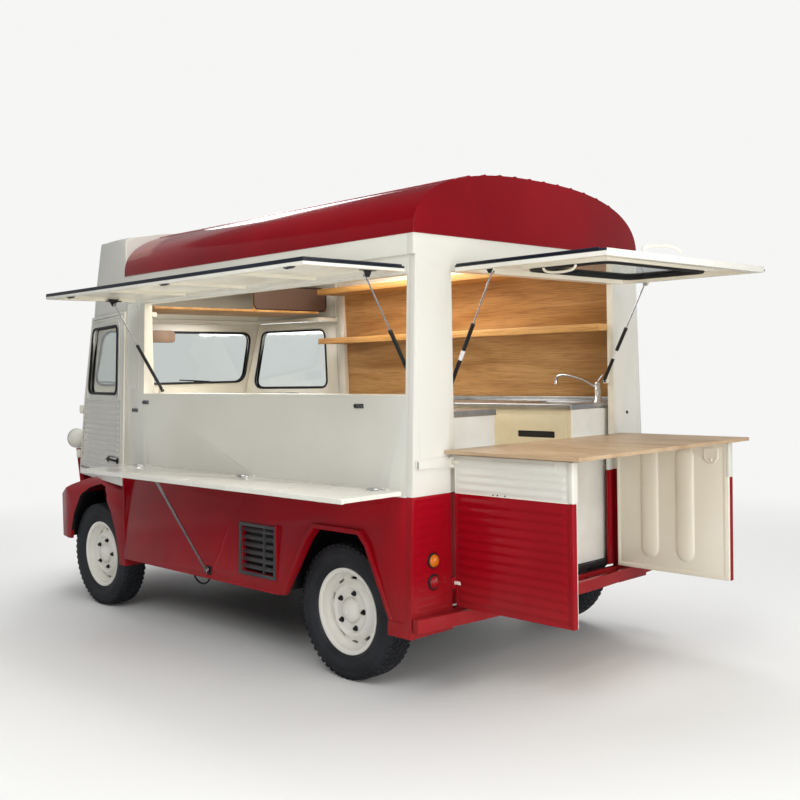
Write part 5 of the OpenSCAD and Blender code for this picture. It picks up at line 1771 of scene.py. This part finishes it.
@dataclass
class Stage:
    """Pale floor and backdrop, soft studio lamps and the camera, in vehicle millimetres."""

    eye: Point3 = (-3876, 4253.1, 1555.6)
    aim: Point3 = (0.716, -0.697, -0.029)
    lift: Point3 = (0.008, -0.034, 0.999)
    lens: float = 46.04
    pale: str = "EDEDEB"
    dark: str = "8A8A8A"
    gloss_share: float = 0.3
    air: float = 0.62
    air_in_gloss: float = 0.14
    far_fade: Point2 = (3.2, 7.5)
    lamps: tuple[tuple[str, Point3, float, float, Point3], ...] = (("key_lamp", (-2600, 6400, 6200), 4.5, 240,
        (1400, 0, 1100)), ("rear_lamp", (-7000, 600, 3600), 4.0, 180, (1400, 0, 1100)),
        ("fill_lamp", (-6200, 2900, 1300), 3.0, 140, (1400, 0, 1100)), ("top_lamp", (1200, -400, 7600), 5.0,
        260, (1400, 0, 1100)), ("far_lamp", (6800, -5200, 4200), 4.5, 260, (1400, 0, 1100)),
        ("ceiling_lamp_light", (900, 0, 2420), 1.3, 32, (900, 0, 0)), ("cab_lamp_light", (2500, 0, 1940), 0.5,
        5, (2500, 0, 0)))

    def sight(self, coat: Coat) -> Socket:
        """How plainly a ray sees the pale ground: fully by eye or through glass, dimly in gloss."""
        path = add_node(coat.tree, "ShaderNodeLightPath").outputs
        seen = add_node(coat.tree, "ShaderNodeMath", {"operation": "MAXIMUM"}, {
            0: path["Is Camera Ray"], 1: path["Is Transmission Ray"]}).outputs[0]
        dim = add_node(coat.tree, "ShaderNodeMath", {"operation": "MULTIPLY"}, {
            0: path["Is Glossy Ray"], 1: self.gloss_share}).outputs[0]
        return add_node(coat.tree, "ShaderNodeMath", {"operation": "MAXIMUM"}, {0: seen, 1: dim}).outputs[0]

    def glowing(self, coat: Coat, share: Socket) -> bpy.types.Material:
        """Mixes the coat's own surface with the pale ground colour."""
        glow = add_node(coat.tree, "ShaderNodeEmission", inputs={
            "Color": linear("F6F6F5"), "Strength": 1.0}).outputs[0]
        mixed = add_node(coat.tree, "ShaderNodeMixShader", inputs={
            0: share, 1: coat.shader.outputs[0], 2: glow}).outputs[0]
        output = next(n for n in coat.tree.nodes if n.type == "OUTPUT_MATERIAL")
        coat.tree.links.new(mixed, output.inputs["Surface"])
        return coat.material

    def backdrop_material(self) -> bpy.types.Material:
        """Seamless matt paper: pale to the eye, in mirrors and through glass."""
        coat = Coat("seamless_paper")
        grain = coat.noise((300, 300, 300), 2.0)
        coat.set(Base_Color=linear(self.dark), Roughness=coat.spread(grain, 0.85, 0.95))
        return self.glowing(coat, self.sight(coat))

    def floor_material(self) -> bpy.types.Material:
        """Smooth pale floor that keeps the shadow and runs out into the backdrop's colour."""
        coat = Coat("pale_floor")
        grain = coat.noise((40, 40, 40), 3.0)
        path = add_node(coat.tree, "ShaderNodeLightPath").outputs["Is Glossy Ray"]
        tone = coat.ramp(path, [(0.0, self.pale), (1.0, self.dark)])
        coat.set(Base_Color=tone, Roughness=coat.spread(grain, 0.6, 0.75))
        away = add_node(coat.tree, "ShaderNodeVectorMath", {"operation": "LENGTH"},
                        {0: coat.place}).outputs["Value"]
        fade = add_node(coat.tree, "ShaderNodeMapRange", {"interpolation_type": "SMOOTHSTEP"}, {
            0: away, 1: self.far_fade[0], 2: self.far_fade[1], 3: 0.0, 4: 1.0}).outputs[0]
        share = add_node(coat.tree, "ShaderNodeMath", {"operation": "MULTIPLY"}, {
            0: fade, 1: self.sight(coat)}).outputs[0]
        return self.glowing(coat, share)

    def ground(self) -> None:
        """Lays the floor and stands the curved backdrop round it."""
        Bench.clear()
        centre = DATUM.at(1400, 0, 0)
        bpy.ops.mesh.primitive_circle_add(vertices=96, radius=22, fill_type="NGON", location=centre)
        floor = bpy.context.object
        floor.name = "floor"
        floor.data.materials.append(self.floor_material())
        Bench.clear()
        bpy.ops.mesh.primitive_cylinder_add(vertices=96, radius=21.5, depth=14, end_fill_type="NOTHING",
            location=centre + Vector((0, 0, 7)))
        wall = bpy.context.object
        wall.name = "backdrop"
        wall.data.materials.append(self.backdrop_material())

    def lamp(self, name: str, place: Point3, size: float, power: float, goal: Point3) -> None:
        """Hangs one square soft lamp that points at goal."""
        light = bpy.data.lights.new(name, "AREA")
        light.shape, light.size, light.energy = "SQUARE", size, power
        obj = bpy.data.objects.new(name, light)
        obj.location = DATUM.at(*place)
        obj.rotation_euler = (DATUM.at(*goal) - obj.location).to_track_quat("-Z", "Y").to_euler()
        obj.visible_glossy = name not in ("key_lamp", "top_lamp")
        bpy.context.scene.collection.objects.link(obj)

    def light(self) -> None:
        """Sets the lamps and the even glow of the surroundings."""
        for name, place, size, power, goal in self.lamps:
            self.lamp(name, place, size, power, goal)
        world = bpy.data.worlds.new("studio_air")
        world.use_nodes = True
        tree = world.node_tree
        path = add_node(tree, "ShaderNodeLightPath").outputs["Is Glossy Ray"]
        level = add_node(tree, "ShaderNodeMapRange",
                         inputs={0: path, 3: self.air, 4: self.air_in_gloss}).outputs[0]
        background = tree.nodes["Background"]
        background.inputs[0].default_value = linear("F2F4F6")
        tree.links.new(level, background.inputs[1])
        bpy.context.scene.world = world
        bpy.context.scene.view_settings.view_transform = "Standard"

    def camera(self) -> None:
        """Sets the camera behind and to the left, as the vehicle is seen."""
        data = bpy.data.cameras.new("camera")
        data.lens, data.sensor_width = self.lens, 36
        data.clip_end = 100
        obj = bpy.data.objects.new("camera", data)
        forward = Vector(self.aim).normalized()
        right = forward.cross(Vector(self.lift)).normalized()
        up = right.cross(forward)
        turn = Matrix((right, up, -forward)).transposed().to_4x4()
        obj.matrix_world = Matrix.Translation(DATUM.at(*self.eye)) @ turn
        bpy.context.scene.collection.objects.link(obj)
        bpy.context.scene.camera = obj

    def build(self) -> None:
        """Builds the whole stage."""
        self.camera()
        self.ground()
        self.light()


# ---------------------------------------------------------------- main


def main() -> None:
    """Builds the stage and every sub-assembly in order."""
    logging.basicConfig(level=logging.INFO, format="%(name)s: %(message)s")
    Stage().build()
    body = LoadBody()
    body.build()
    Cab().build()
    Awning().build(body)
    Shelf().build()
    RearOpening().build()
    Wheel().build()
    Kitchen().build()


if __name__ == "__main__":
    main()
